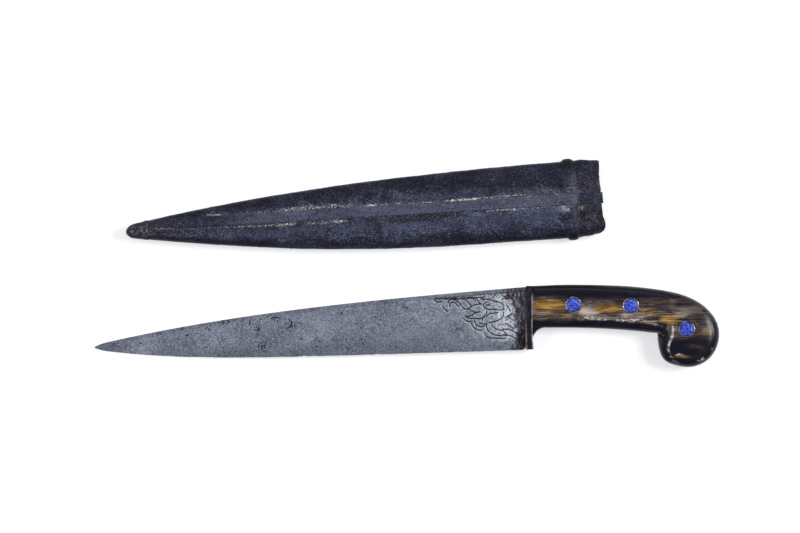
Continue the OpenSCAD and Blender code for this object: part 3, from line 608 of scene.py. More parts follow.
def filled_out(points):
    """Lets the grip stand a little fuller along its top, its underside and the curl of the pommel."""
    x, y, _ = points.T.copy()
    across, up = x - POMMEL_X, y + POMMEL_DROP
    reach = np.maximum(np.hypot(across, up), 1e-6)
    behind = step(x, 82, 92)
    points[:, 1] += np.interp(x, (8, 20, 45, 62, 90), (0, 0.4, 0.6, 0.9, 0.9)) * step(y, 2, 9) * (1 - behind)
    points[:, 1] -= 0.4 * fall(y, -12, -9) * step(x, 9, 14) * fall(x, 74, 80)
    swell = 0.75 * behind * step(reach, 11, 17) * step(y, -26, -10)
    curl = 1.7 * np.exp(-((x - 84.2) ** 2 + (y + 31.5) ** 2) / 40) * step(reach, 9, 15)
    points[:, 0] += (swell + curl) * across / reach
    points[:, 1] += (swell + curl) * up / reach
    return points


def tang_part():
    """The tang, cut from the CAD blade behind the bolster line, in millimetres on the knife's axes."""
    bm = bmesh.new()
    bm.from_mesh(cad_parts["blade"].data)
    bmesh.ops.transform(bm, matrix=AXES["knife"].inverted(), verts=bm.verts)
    bmesh.ops.remove_doubles(bm, verts=bm.verts, dist=0.001)
    bmesh.ops.bisect_plane(bm, geom=bm.verts[:] + bm.edges[:] + bm.faces[:], plane_co=(-0.1, 0, 0),
        plane_no=(1, 0, 0), clear_inner=True)
    bmesh.ops.holes_fill(bm, edges=[e for e in bm.edges if e.is_boundary])
    bm.verts.index_update()
    points = np.array([v.co[:] for v in bm.verts])
    faces = [tuple(v.index for v in f.verts) for f in bm.faces]
    bm.free()
    return filled_out(points), faces


def blade_skin():
    """Rings from the point to the bolsters. Gives their points and, for each, its share of the way down to
    the edge, how near the back it is and the height of the line under the back's bevel, and the faces."""
    rows = np.r_[-BLADE_LENGTH - POINT + 6 * (1 - np.cos(np.linspace(0.08, 1, 10))),
        -BLADE_LENGTH + 2:-62:1.2, -61.6:-2.3:0.28,
        -HEEL_ROUND * (1 - np.sin(np.radians(np.arange(6, 90, 8)))), 0]
    x = rows[:, None]
    s = np.linspace(0, 1, LEVELS)
    t = (x + BLADE_LENGTH) / BLADE_LENGTH
    top, low = back_line(t) + FULLER, edge_line(t) + heel_cut(x) - FULLER
    # The point is rounded
    d = unit((x + BLADE_LENGTH + POINT) / 7.5)
    blunt, middle = np.sqrt(1 - (1 - d) ** 2), (top + low) / 2
    half = mix(TIP_THICK, BACK_THICK, t) / 2 * mix(0.55, 1, blunt)
    top, low = middle + (top - middle) * blunt, middle + (low - middle) * blunt
    ridge = top - np.minimum(BEVEL_HEIGHT, (top - low) * 0.25)
    bevel = np.array([0.0, 0.5])
    y = np.hstack([mix(top, ridge, bevel), ridge + (low - ridge) * s])
    z = np.hstack([half * mix(0.7, 1, bevel), half - (half - EDGE_THICK / 2) * s ** 1.6])
    # Front from the edge up to the back, then the other side down again
    y, z = np.hstack([y[:, ::-1], y]), np.hstack([z[:, ::-1], -z])
    under_back = np.repeat(top - BEVEL_HEIGHT * 1.05, y.shape[1], 1).ravel()
    points = np.c_[np.repeat(x, y.shape[1], 1).ravel(), y.ravel(), z.ravel()]
    share = np.tile(np.hstack([s[::-1], [0] * 4, s]), len(rows))
    near_back = np.hstack([np.zeros(LEVELS - 2), [0.3, 0.8, 1, 1, 1, 1, 0.8, 0.3], np.zeros(LEVELS - 2)])
    return points, share, np.tile(near_back, len(rows)), under_back, tube_faces(len(rows), y.shape[1])


def blade():
    points, share, spine, under_back, faces = blade_skin()
    x, y, z = points.T
    side = np.sign(z)
    groove, rim = np.zeros(len(x)), np.zeros(len(x))
    cut = x > ENGRAVED_FROM
    reach = distance_to(stroke_segments(), x[cut], y[cut])
    # Each engraved line has a pale rim beside it: a painted highlight
    groove[cut], rim[cut] = unit(1.3 * hump(reach, 0, 0.38)), hump(reach, 0.8, 0.26)
    on_side = (spine < 0.9) & (share < 0.97)
    # The dark line under the back's bevel, also cut a little in, is painted shade along the bevel's edge
    groove = most(groove, hump(y, under_back, 0.26) * step(x, -62, -50) * 0.9) * on_side
    pits = unit(0.3 - spots(points * (1, 1, 4), 2.6)) * (rough(points, 22, 3, 2) > 0.02)
    soft = 0.03 * rough(points * (1, 1, 3), 5) - 0.35 * pits * (share < 0.9) - 0.22 * groove
    z += side * soft
    # The worn edge wavers a little, inside its own line, and has three notches
    edge = share > 0.985
    y[edge] += 0.22 * np.abs(rough(points[edge] * (1, 0, 0), 7, 4, 5)) * step(x[edge], -250, -240)
    notched = hump(x, -132.8, 1.1) + 0.8 * hump(x, -126.9, 1.2) + 0.5 * hump(x, -89, 1.2)
    y += 0.55 * notched * step(share, 0.94, 1)
    fields = blade_fields(points, share, spine, pits, groove)
    fields["rim"] = rim * on_side
    tang_points, tang_faces = tang_part()
    # The tang is darker and a little dirty all over
    on_tang = {"band": 0.15, "spine": 2.3}
    fields = {key: np.r_[v, np.full(len(tang_points), on_tang.get(key, 0))] for key, v in fields.items()}
    faces += [tuple(i + len(points) for i in f) for f in tang_faces]
    points = np.vstack([points, tang_points])
    piece("knife_blade", "blade", "knife", "watered_steel", points, faces, 32, **fields)


def blade_fields(points, share, spine, pits, groove):
    """The blade's wear and dirt, by name."""
    x, y, _ = points.T
    tone = rough(points * (1, 1, 3), 9, 4, 3)
    shade = 0.62 * step(share, 0.5, 0.96) * step(x, -236, -190) * (1 - 0.5 * step(x, -60, -45))
    shade = most(shade, 0.55 * fall(x, -246, -228)) - 0.22 * fall(share, 0.1, 0.5) * step(x, -220, -190)
    border = x + 2.2 * tone + np.interp(y, (-26, -17, -5, 7), (-0.8, -3.4, -2.2, 1.6))
    band = 0.95 * step(border, -12, -3.8) * (1 - 0.25 * hump(x, -3.4, 1.1))
    band += 0.5 * hump(x, -9, 6) * hump(y, 7, 4) + 0.5 * hump(x, -2, 4) * hump(y, -20, 7)
    # Black mottle at the corner by the back, and low down before the bolsters
    soot = most(hump(x, -9.4, 5.4, 4) * hump(y, 7.4, 5.8, 4), hump(x, -2.8, 2.8, 4) * hump(y, -20, 8, 4),
        0.65 * hump(border, -7.6, 1.8))
    broken = np.clip(0.35 + 2.2 * rough(points * (1, 0.7, 1), 1.5, 3, 21), 0, 0.9)
    bright = 0.36 * step(x, -44, -22) + 0.72 * hump(x, -11, 6, 4) + sum(places(x, y, POLISHED))
    return {"groove": most(groove, soot * broken), "shade": shade, "band": band,
        "rust": 0.08 * tone + 0.9 * pits + sum(places(x, y, RUST)),
        "pitted": most(0.12, *places(x, y, PITTED)),
        "gold": 0.62 * hump(x, -9.3, 2.6) * hump(y, 7.4, 2.4),
        "spine": spine + 0.7 * hump(x, -62, 17) * fall(y, -14, -4),
        # The pale seam line is a painted highlight on the edge before the bolsters
        "seam": hump(x, pale_seam(y), 0.36) * step(y, -16, -10),
        "bright": bright * fall(border, -8.5, -6.5) * step(y, -24, -17) * fall(y, 5, 8)}


# Bolsters
HOLLOW_Y = -GRIP_DROP - HOLLOW


def tang_half(x):
    return mix(TANG_FRONT, TANG_REAR, x / POMMEL_TAIL) / 2


def grip_half(x):
    return mix(GRIP_FRONT, GRIP_REAR, x / POMMEL_TAIL)


def bolster_ring(x, flare, small):
    """One section of a bolster, with rounded corners above and below, drawn in by small."""
    turns = np.radians(np.linspace(0, 90, 13))
    steps = [(1 - math.cos(a), mix(0.3, 1, math.sin(a))) for a in turns]
    inner, outer = tang_half(x) + FIT, grip_half(x) - small
    top, low = GRIP_TOP - small, -EDGE_DROP + small
    below = [(low + BOLSTER_ROUND * s[0], mix(inner, outer, s[1])) for s in steps]
    above = [(top - TOP_ROUND * s[0], mix(inner, outer, s[1])) for s in reversed(steps)]
    face = [(y, outer) for y in np.linspace(below[-1][0], above[0][0], 34)[1:-1]]
    inside = [(y, inner) for y in np.linspace(top, low, 40)[1:-1]]
    ring = [(low, inner), *below, *face, *above, (top, inner), *inside]
    return [(x + (flare * unit((HOLLOW_Y - y) / 4)), y, z) for y, z in ring]


def bolster(side, word):
    stations = [(FIT, 0, BOLSTER_BEVEL), (FIT + 0.12, 0, 0.42), (FIT + 0.3, 0, 0.2),
        (BOLSTER_BEVEL + FIT, 0, 0), (1.4, 0, 0), (2.1, 0, 0), (2.8, 0, 0), (3.4, 0, 0),
        (BOLSTER_LENGTH - 0.28, FOOT_FLARE, 0), (BOLSTER_LENGTH - 0.08, FOOT_FLARE, 0.08),
        (BOLSTER_LENGTH, FOOT_FLARE, 0.28)]
    rings = [bolster_ring(*station) for station in stations]
    points, around = np.array([p for ring in rings for p in ring]), len(rings[0])
    x, y, z = points.T
    # Small dents and hollows, away from the tang and the neighbours
    outside = step(z, tang_half(0) + 0.3, tang_half(0) + 1.2)
    z -= 0.1 * np.abs(rough(points, 4, 4, 7 + side)) * outside
    z *= side
    # Pale edges at front and rear: rubbed wear with a painted highlight
    piece(f"bolster_{word}_plate", f"bolster_{word}", "knife", "dark_iron", points,
        tube_faces(len(rings), around), 50, front_wear=hump(x, pale_seam(y), 0.34) * fall(y, -14, -8),
        rear_wear=np.repeat([0] * 8 + [0.3, 1, 0.8], around) * step(8 - y, 0, 4))


# Scales. The middle of the face between the back and the underside, and the ridge along the underside
FACE_MIDDLE, VOXEL = 0.4, 0.4
UNDER_RIDGE = [(3, -7.6), (20, -8.6), (40, -7.4), (60, -8.4), (72, -9.6), (80, -11.6), (86, -14.2)]
# The ridge of the scroll, from the notch round into the pommel
SCROLL = np.array([(88.4, -12.8), (88.6, -15.5), (87.8, -19.1), (86.6, -21.6), (85.8, -23.8), (85.5, -26.2),
    (86.2, -28.4), (87.3, -31), (89.2, -33.2), (92, -34.8)])
# Places in the horn: middle along and up, reach along and up, and strength
AMBER = [(14.5, 0.6, 12.5, 3, 1), (47.5, -2.2, 7.5, 2.7, 0.9), (55, -1.2, 4, 2.2, 0.45),
    (72, -4.3, 6, 2.4, 0.5), (86.5, -8.4, 6.5, 3, 0.95), (92.6, -30.4, 5.5, 1.4, 0.52),
    (108.5, -14.6, 3.5, 2.6, 0.48), (101, -24.4, 6, 2.2, 0.4), (20, -5, 15, 1.8, 0.3),
    (100, -31, 8, 2.2, 0.26), (107, -27, 4, 2.4, 0.26)]
# Grey-mauve places; those at (96, -3), (107.5, -8.5) and (110.5, -20), on the pommel's right, are a painted
# highlight
MAUVE = [(38.5, -3.2, 7, 2.6, 0.95), (64.5, -6, 7.5, 2.4, 0.85), (78, -10, 7, 1.6, 0.55),
    (92, -6.5, 5, 3, 0.55), (96, -3, 9, 3, 0.3), (31, 1, 5, 2, 0.3), (107.5, -8.5, 5, 6, 0.4),
    (110.5, -20, 2.5, 6, 0.35)]
# Pale chips and painted highlights on the pommel, in the same way
CHIPS_AND_HIGHLIGHTS = [(91.8, -29.4, 3, 1, 0.7), (105, -32.2, 3, 1.6, 0.7), (111.5, -27, 1.2, 3, 0.5),
    (82, -33, 1, 3, 0.35)]
# How pale the ridge of the underside is along the grip: chipped horn with a painted highlight
RIDGE_CHIPS_AND_HIGHLIGHT = [(8, 0.15), (30, 0.3), (38, 0.8), (48, 0.85), (52, 0.5), (56, 1), (68, 0.9), (73, 0.6),
    (81, 0.55), (85, 0.2)]


def smooth_verts(points, edges, rounds, weight):
    """Moves points part of the way to the middle of their neighbours, round after round."""
    a, b = edges[:, 0], edges[:, 1]
    count = np.bincount(a, minlength=len(points)) + np.bincount(b, minlength=len(points))
    for _ in range(rounds):
        total = np.zeros_like(points)
        np.add.at(total, a, points[b])
        np.add.at(total, b, points[a])
        points = points + (total / np.maximum(count, 1)[:, None] - points) * weight[:, None]
    return points


def rows_of(items, key, width, kind):
    """One property of a mesh's points or edges, as rows of numbers."""
    rows = np.empty(len(items) * width, kind)
    items.foreach_get(key, rows)
    return rows.reshape(-1, width)


def even_mesh(node):
    """Points, edges and faces of a CAD node after an even remesh, in millimetres on the knife's axes."""
    copy = shown("work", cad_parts[node].data.copy())
    copy.data.transform(AXES["knife"].inverted())
    bm = bmesh.new()
    bm.from_mesh(copy.data)
    bmesh.ops.remove_doubles(bm, verts=bm.verts, dist=0.001)
    bm.to_mesh(copy.data)
    bm.free()
    remesh = copy.modifiers.new("remesh", "REMESH")
    remesh.mode = "VOXEL"
    remesh.voxel_size = VOXEL
    mesh = bpy.data.meshes.new_from_object(copy.evaluated_get(bpy.context.evaluated_depsgraph_get()))
    bpy.data.objects.remove(copy)
    points, edges = rows_of(mesh.vertices, "co", 3, float), rows_of(mesh.edges, "vertices", 2, int)
    faces = [tuple(f.vertices) for f in mesh.polygons]
    bpy.data.meshes.remove(mesh)
    return points, edges, faces


def scale(side, word):
    points, edges, faces = even_mesh(f"scale_{word}")
    x, y, z = points.T
    to_rivet = np.min([np.hypot(x - r[0], y - r[1]) for r in RIVETS.values()], 0)
    free = step(z * side - tang_half(x) - FIT, 0.1, 1.2) * step(to_rivet, 5.3, 7.5)
    points = filled_out(smooth_verts(points, edges, 14, 0.5 * (0.15 + 0.85 * free)))
    x, y, z = points.T
    # Chipped ridge along the underside, and hollows where the horn wore away
    ridge_y = read_off(x, UNDER_RIDGE)
    along = hump(y, ridge_y, 1.3) * step(x, 4, 9) * fall(x, 84, 88)
    flakes = rough(points * (0.35, 1, 1), 1.8, 4, 2)
    depth = 0.3 * along * np.clip(flakes, -0.2, 1) + 0.05 * rough(points, 12, 3, 9)
    # The side is crowned a little between the back and the underside
    depth += 0.75 * np.clip((y - FACE_MIDDLE) / 11.5, -1, 1) ** 2 * fall(x, 84, 92)
    reach = np.hypot(x - POMMEL_X, y + POMMEL_DROP)
    depth += 1.4 * unit(reach / 15) ** 2.5 * step(x, 84, 92)
    # The scroll: a ridge that curls in from the notch, with a hollow along its outer side
    to_scroll = distance_to(np.hstack([SCROLL[:-1], SCROLL[1:]]), x, y)
    outer_side = step(np.interp(-y, -SCROLL[:, 1], SCROLL[:, 0]) - x, -0.5, 0.5)
    depth += 0.45 * hump(to_scroll, 1.8, 1.1) * outer_side + 0.15 * hump(to_scroll, 0, 0.8) * unit(flakes)
    z -= side * np.clip(depth, -0.1, 1.6) * free
    streak = 1.1 * rough(np.c_[x * 0.12, y, 0 * x], 2.2, 3, 14)
    # Dark along the back, under the ridge, and on the pommel below its stone and round its rim: painted shade
    # where the horn rounds away, over its own dark streaks
    dark = most(step(y + 1.5 * streak, 1.2, 7.6),
        fall(y + 0.6 * streak, ridge_y - 2.6, ridge_y - 0.1) * fall(x, 84, 88),
        0.4 * step(x, 66, 90) * step(y + streak, -9, 0), 0.45 * step(x, 92, 108),
        0.9 * fall(y + 0.5 * streak, -23, -16) * step(x, 76, 80),
        step(reach, 12.5, 16) * step(x, 76, 80) * step(-y, 6, 12),
        0.75 * step(x, 88, 98) * step(y + 0.55 * (x - 95), 2, 7))
    amber, mauve = (sum(places(x, y + 0.4 * streak, table, 3)) for table in (AMBER, MAUVE))
    # Pale chips and painted highlights along the underside's ridge, the scroll and the pommel
    on_scroll = np.interp(y, (-35, -32, -28, -24, -14), (0.35, 0.6, 0.45, 0.9, 1))
    chip = most(0.9 * along * read_off(x, RIDGE_CHIPS_AND_HIGHLIGHT), hump(to_scroll, 0, 0.9) * on_scroll, *places(x, y, CHIPS_AND_HIGHLIGHTS))
    piece(f"scale_{word}_horn", f"scale_{word}", "knife", "horn", points, faces,
        dark=dark * (1 - 0.9 * unit(amber)), amber=amber, mauve=mauve, chip=unit(chip))


# Cups and stones, and the points round a ring of each
CUP_STEPS, STONE_STEPS = 96, 72


def cup_seat(r):
    return grip_half(r[0]) - CUP_SINK


def stone_seat(r):
    return cup_seat(r) + FIT + CUP_FLOOR + FIT + HEAD_HEIGHT + FIT


def lathe(profile, steps, at, side, wobble=0.0, seed=0.0):
    """Rings of a turned shape round the axis at the rivet, a little uneven."""
    points = []
    for radius, height in profile:
        for k in range(steps):
            a = side * 2 * math.pi * k / steps
            n = noise.noise(Vector((math.cos(a) * 1.6 + seed, math.sin(a) * 1.6, height)))
            r = radius * (1 + wobble * n)
            points.append((at[0] + r * math.cos(a), at[1] + r * math.sin(a), side * height))
    return np.array(points)


def cup(side, word, which):
    r = RIVETS[which]
    outer, rim, base = CUP / 2, CUP_WALL / 2, cup_seat(r) + FIT
    height = CUP_SINK + CUP_PROUD - FIT
    profile = [(RIVET / 2 + FIT, base + CUP_FLOOR), (RIVET / 2 + FIT, base), (outer, base),
        *((outer - rim + rim * math.cos(a), base + height - rim + rim * math.sin(a))
            for a in np.radians(np.linspace(0, 180, 11))),
        (outer - CUP_WALL, base + CUP_FLOOR)]
    points = lathe(profile, CUP_STEPS, r, side)
    # The rim is dented and worn lower in places
    high = step(points[:, 2] * side, base + height - 2.5 * rim, base + height)
    points[:, 2] -= side * high * 0.16 * unit(rough(points, 1.8, 3, r[0]) + 0.3)
    piece(f"cup_{word}_{which}_ring", f"cup_{word}_{which}", "knife", "silver", points,
        tube_faces(len(profile), CUP_STEPS, closed=True))


def stone(side, word, which):
    r = RIVETS[which]
    half, base = CUP / 2 - CUP_WALL - STONE_GAP, stone_seat(r)
    shares = np.sin(np.radians(np.linspace(0, 88, 16)))[::-1]
    profile = [(0.02, base), (half * 0.6, base), (half - 0.1, base), (half, base + 0.1),
        (half, base + STONE_SIDE * 0.6), (half, base + STONE_SIDE - 0.1),
        *((half * s, base + STONE_SIDE + STONE_DOME * (1 - s * s)) for s in shares[1:]),
        (0.02, base + STONE_SIDE + STONE_DOME)]
    points = lathe(profile, STONE_STEPS, r, side, 0.03, r[0] + side)
    top = step(points[:, 2] * side, base + 0.5, base + STONE_SIDE)
    points[:, 2] -= side * top * 0.14 * unit(rough(points, 1.3, 4, r[0] + 3) + 0.2)
    piece(f"stone_{word}_{which}_gem", f"stone_{word}_{which}", "knife", "blue_stone", points,
        tube_faces(len(profile), STONE_STEPS))


# Scabbard
def run(x):
    return unit((x - TIP_X) / -TIP_X)


def cover_top(x):
    return back_line(run(x)) + bend([0, 2.2, 4.9, 4.6], run(x)) - DRAW_TOP * unit(x / MOUTH)


def cover_low(x):
    return edge_line(run(x)) - bend([4.1, 1.1, 13.3, 6.1, 3.9], run(x)) + DRAW_LOW * unit(x / MOUTH)


def cover_front(x):
    return mix(FRONT_DEPTH_TIP, FRONT_DEPTH, run(x))


def cover_back(x):
    return BACK_DEPTH - TOE_LIFT * unit((TIP_X + TOE_LENGTH - x) / TOE_LENGTH) ** 2


def slant(x):
    return LEAN * unit((x - (CORD_X - 40)) / 32)


def bump_at(x):
    return SWELL * fall(np.abs(x - CORD_X), 1.5, SWELL_LENGTH)


def nose(x, inset):
    d = np.clip((x - TIP_X - inset) / (NOSE - inset), 0.04, 1)
    return np.sqrt(1 - (1 - d) ** 2)


def nose_xs(inset, steps=8):
    """Stations round the nose of a skin set in by inset."""
    return TIP_X + inset + (NOSE - inset) * (1 - np.cos(np.radians(np.linspace(12, 88, steps))))


def cover_rings(xs, inset, rise, sole, around):
    """Rings of the scabbard set in by inset, and the place of each point along the scabbard."""
    xs = np.asarray(xs, float)[:, None]
    # Angles spread so that the rounded edges get enough points
    a = np.linspace(0, 2 * np.pi, around, endpoint=False)[None, :]
    a = a - 0.35 * np.sin(2 * a) / 2
    shrink = nose(xs, inset)
    top, low = cover_top(xs) - inset + rise, cover_low(xs) + inset - rise
    front, back = cover_front(xs) - inset + rise, cover_back(xs) - inset + sole
    c, s = np.cos(a), np.sin(a)
    p = np.where(s >= 0, 2 / 3, 2 / 5)
    y = (top + low) / 2 - shrink * (top - low) / 2 * np.sign(c) * np.abs(c) ** p
    z = shrink * np.where(s >= 0, front, back) * np.sign(s) * np.abs(s) ** p
    return np.stack([xs - slant(xs) * y, y, z], -1), np.broadcast_to(xs, y.shape)


def skin(around, *runs):
    """A closed skin from runs of rings, each given as its places along the scabbard, inset, rise, sole and
    1 if it faces out. Gives its points, their places along, which of them face out, and its faces."""
    rings = [cover_rings(*run[:4], around) for run in runs]
    points, at = (np.concatenate([ring[k] for ring in rings]) for k in (0, 1))
    outside = np.concatenate([np.full(len(run[0]) * around, float(run[4])) for run in runs])
    return points.reshape(-1, 3), at.ravel(), outside, tube_faces(len(points), around)


def outward(points, at, flat):
    """Direction out of the leather, with its sideways part weakened where the section is flat."""
    middle = (cover_top(at) + cover_low(at)) / 2
    away = np.c_[np.zeros(len(points)), (points[:, 1] - middle) * flat, points[:, 2]]
    return away / np.maximum(np.linalg.norm(away, axis=1), 1e-6)[:, None]


def way_up(at, y):
    """Share of the way from the scabbard's lower outline to its upper one."""
    return (y - cover_low(at)) / (cover_top(at) - cover_low(at))


def clip_floor(points):
    """Keeps points on or above the table, on the scabbard's axes."""
    points[:, 2] = np.maximum(points[:, 2], -BACK_DEPTH)
    return points


STRIP_START = mix(cover_low(CAP_EDGE), cover_top(CAP_EDGE), STRIP_TIP)
STRIP_END = mix(cover_low(MOUTH), cover_top(MOUTH), STRIP_MOUTH)


def strip_y(x):
    return mix(STRIP_START, STRIP_END, (x - CAP_EDGE) / (MOUTH - CAP_EDGE))


def strip_half(x):
    return STRIP_WIDTH / 2 * unit((1 + (x - CAP_EDGE - 0.6) / 20) / 2)


# Wear along the two edges of the seam strip: place along the scabbard, amount and width
UPPER_WEAR = [(-225, 0, 0.6), (-221, 0.6, 0.7), (-212, 0.55, 0.6), (-207, 0.15, 0.4), (-194, 0.3, 0.5),
    (-182, 0.5, 0.9), (-174, 0.54, 1.5), (-160, 0.53, 2.8), (-142, 0.52, 3), (-135, 0.45, 1.8),
    (-127, 0.45, 0.8), (-125.5, 0.95, 0.6), (-121, 0.95, 0.6), (-119, 0.35, 1.1), (-110, 0.35, 0.9),
    (-106.5, 1, 0.6), (-100, 1, 0.6), (-98, 0.66, 0.7), (-88, 0.68, 0.6), (-84, 0.35, 0.4),
    (-79, 0.55, 0.4), (-76, 0.9, 0.5), (-72, 1, 0.7), (-62, 0.95, 0.6), (-58, 0.65, 0.5), (-48, 0.65, 0.9),
    (-40, 0.7, 1.2), (-20, 0.66, 1.2), (-12, 0.5, 1), (-7, 0.2, 0.5), (16, 0.05, 0.4)]
LOWER_WEAR = [(-262, 0.3, 0.5), (-256, 0.5, 0.8), (-232, 0.5, 0.7), (-226, 0.35, 0.6),
    (-206, 0.45, 1.4), (-200, 0.53, 1.9), (-194, 0.47, 1.9), (-191, 0.48, 2), (-178, 0.57, 2.1),
    (-173, 0.9, 1.8), (-170, 0.9, 1.6), (-168, 0.5, 1.4), (-166, 0.3, 0.8), (-161, 0.48, 2),
    (-147, 0.52, 2), (-144, 0.84, 1.8), (-140, 0.84, 1.8), (-136, 0.46, 1.4), (-130, 0.15, 0.5),
    (-88, 0.15, 0.4), (-82, 0.5, 0.5), (-79, 0.15, 0.4), (-54, 0.25, 0.6), (-47, 0.7, 1.3),
    (-36, 0.76, 1.5), (-31, 0.45, 1), (-12, 0.4, 0.8), (0, 0.1, 0.5)]
# Rubbed brown and black patches: along, distance below the strip, reaches, strength
PATCHES = [(-123, 2, 4, 3.2, 0.95), (-119, 6, 1.8, 3.6, 0.95), (-106, 2.2, 8, 3, 1),
    (-92, 2, 7, 2.8, 1), (-80, 1.6, 8, 1.8, 0.7), (-165.5, 1.2, 3.4, 1.6, 0.85), (-190, 1.5, 6, 1.4, 0.4),
    (-245, 1, 16, 2.2, 0.35), (-150, 7, 6, 3, 0.35), (-60, 8, 10, 3, 0.3), (-67, 1.6, 5, 2, 0.5)]
# Dark places: along, distance above the strip, reaches, strength
DARK_PLACES = [(-127, 4, 4, 3.5, 0.8), (-115, 5, 4, 4.5, 0.85), (-50, 13, 7, 4.5, 0.9), (-24, 9, 5, 3, 0.6),
    (-17, 12, 6, 6, 0.9), (-172, 8, 9, 4, 0.5), (4, 5, 3.5, 3.5, 0.7)]
# Scuffs near the mouth: along, up, reaches, strength
PALE_SCUFFS = [(-7.4, -12.9, 3.2, 3.4, 0.66), (2.7, -12.4, 2, 1.9, 0.68), (11.5, -10.6, 3, 1, 0.35),
    (-3.5, -0.6, 3.5, 0.8, 0.42), (-12, -3.6, 4, 2.2, 0.35)]
BLACK_SCUFFS = [(-6.6, -18.8, 4.2, 3.6, 1.35), (3.6, 1.2, 3.6, 3.4, 1.1), (-8, -0.6, 4.2, 1.8, 1.1),
    (2.8, -17.8, 2.8, 5.2, 1.35), (4, -10.5, 3, 1.5, 1)]
# The mouth's edge: height, and place along the scabbard. The collar is drawn to it over its last stretch.
MOUTH_EDGE = [(-28.6, 13), (-27.6, 14.9), (-26.4, 16.3), (-24.6, 17.2), (-22.6, 17.4), (-20, 16.6),
    (-17.7, 15.8), (-10.8, 14.9), (-3, 14.5), (1.2, 13.8), (7.8, 13.3), (12.2, 13.5), (14.2, 13.4),
    (15.6, 12.4)]
COLLAR_PULL = 9
# Points round a ring
COVER_AROUND, CAP_AROUND = 168, 132


def to_mouth(points, at):
    """Draws the collar's last stretch to the mouth's worn edge, and lifts its top a little."""
    uneven = 0.22 * rough(points * (0, 1, 1), 3, 3, 6)
    past = read_off(points[:, 1], MOUTH_EDGE) + uneven - (MOUTH - LEAN * points[:, 1])
    points[:, 0] += step(at, MOUTH - COLLAR_PULL, MOUTH) * past
    points[:, 1] += 0.9 * step(at, CORD_X + 3, CORD_X + 9) * step(points[:, 1], 8, 14)
    return clip_floor(points)


def wear(at, table, beyond):
    """Wear at a distance beyond the strip's edge."""
    amount, width = read_off(at, table), read_off(at, table, 2)
    return amount * fall(beyond, 0.5 * width, 1.5 * width) * (beyond > -0.5)


def leather_cover():
    cap_seat, mouth, end = CAP_THICK + FIT, [MOUTH], [MOUTH - 0.45, MOUTH - 0.2]
    under_cap = np.r_[nose_xs(cap_seat), np.linspace(TIP_X + 5.2, CAP_EDGE, 8)]
    out = np.r_[CAP_EDGE + 0.02, CAP_EDGE + 0.9:CORD_X - 12:0.9, CORD_X - 11.5:MOUTH - 0.8:0.5, end]
    inner = np.r_[nose_xs(LEATHER), np.linspace(TIP_X + 6, CORD_X - 12, 60), CORD_X - 11:MOUTH - 1, end][::-1]
    points, at, outside, faces = skin(COVER_AROUND, (under_cap, cap_seat, 0, 0, 0),
        (out, 0, bump_at(out)[:, None], 0.3, 1), (mouth, LEATHER * 0.3, 0, 0.1, 0),
        (mouth, LEATHER * 0.75, 0, 0, 0), (inner, LEATHER, bump_at(inner)[:, None], 0, 0))
    outside *= step(at, CAP_EDGE + 0.3, CAP_EDGE + 2)
    x, y, z = points.T
    front = z > 0
    under_strip = hump(y, strip_y(at), strip_half(at) + 1.2, 6) * front
    # Soft lumps, wrinkles round the cord, upright creases in the collar and one dark crack
    amount = 0.2 * rough(points, 14, 4, 1)
    amount += (0.07 + 0.14 * hump(at, CORD_X, 9)) * rough(points * (1, 0.4, 0.4), 2.6, 4, 4)
    amount += step(at, CORD_X + 4.5, CORD_X + 6.5) * 0.26 * rough(points * (1, 0.25, 0.25), 3, 3, 8)
    crack = hump(x, 1.6 - 0.29 * (y + 16.5), 0.75) * step(y, -23, -20) * fall(y, -13, -10) * front
    amount = np.clip(amount, -0.5, 0.22) * (1 - under_strip) - 0.55 * crack
    points = to_mouth(points + outward(points, at, 0.35) * (amount * outside)[:, None], at)
    piece("scabbard_leather", "leather_cover", "scabbard", "cover_leather", points, faces, 55,
        **cover_fields(points, at, outside, front, crack))


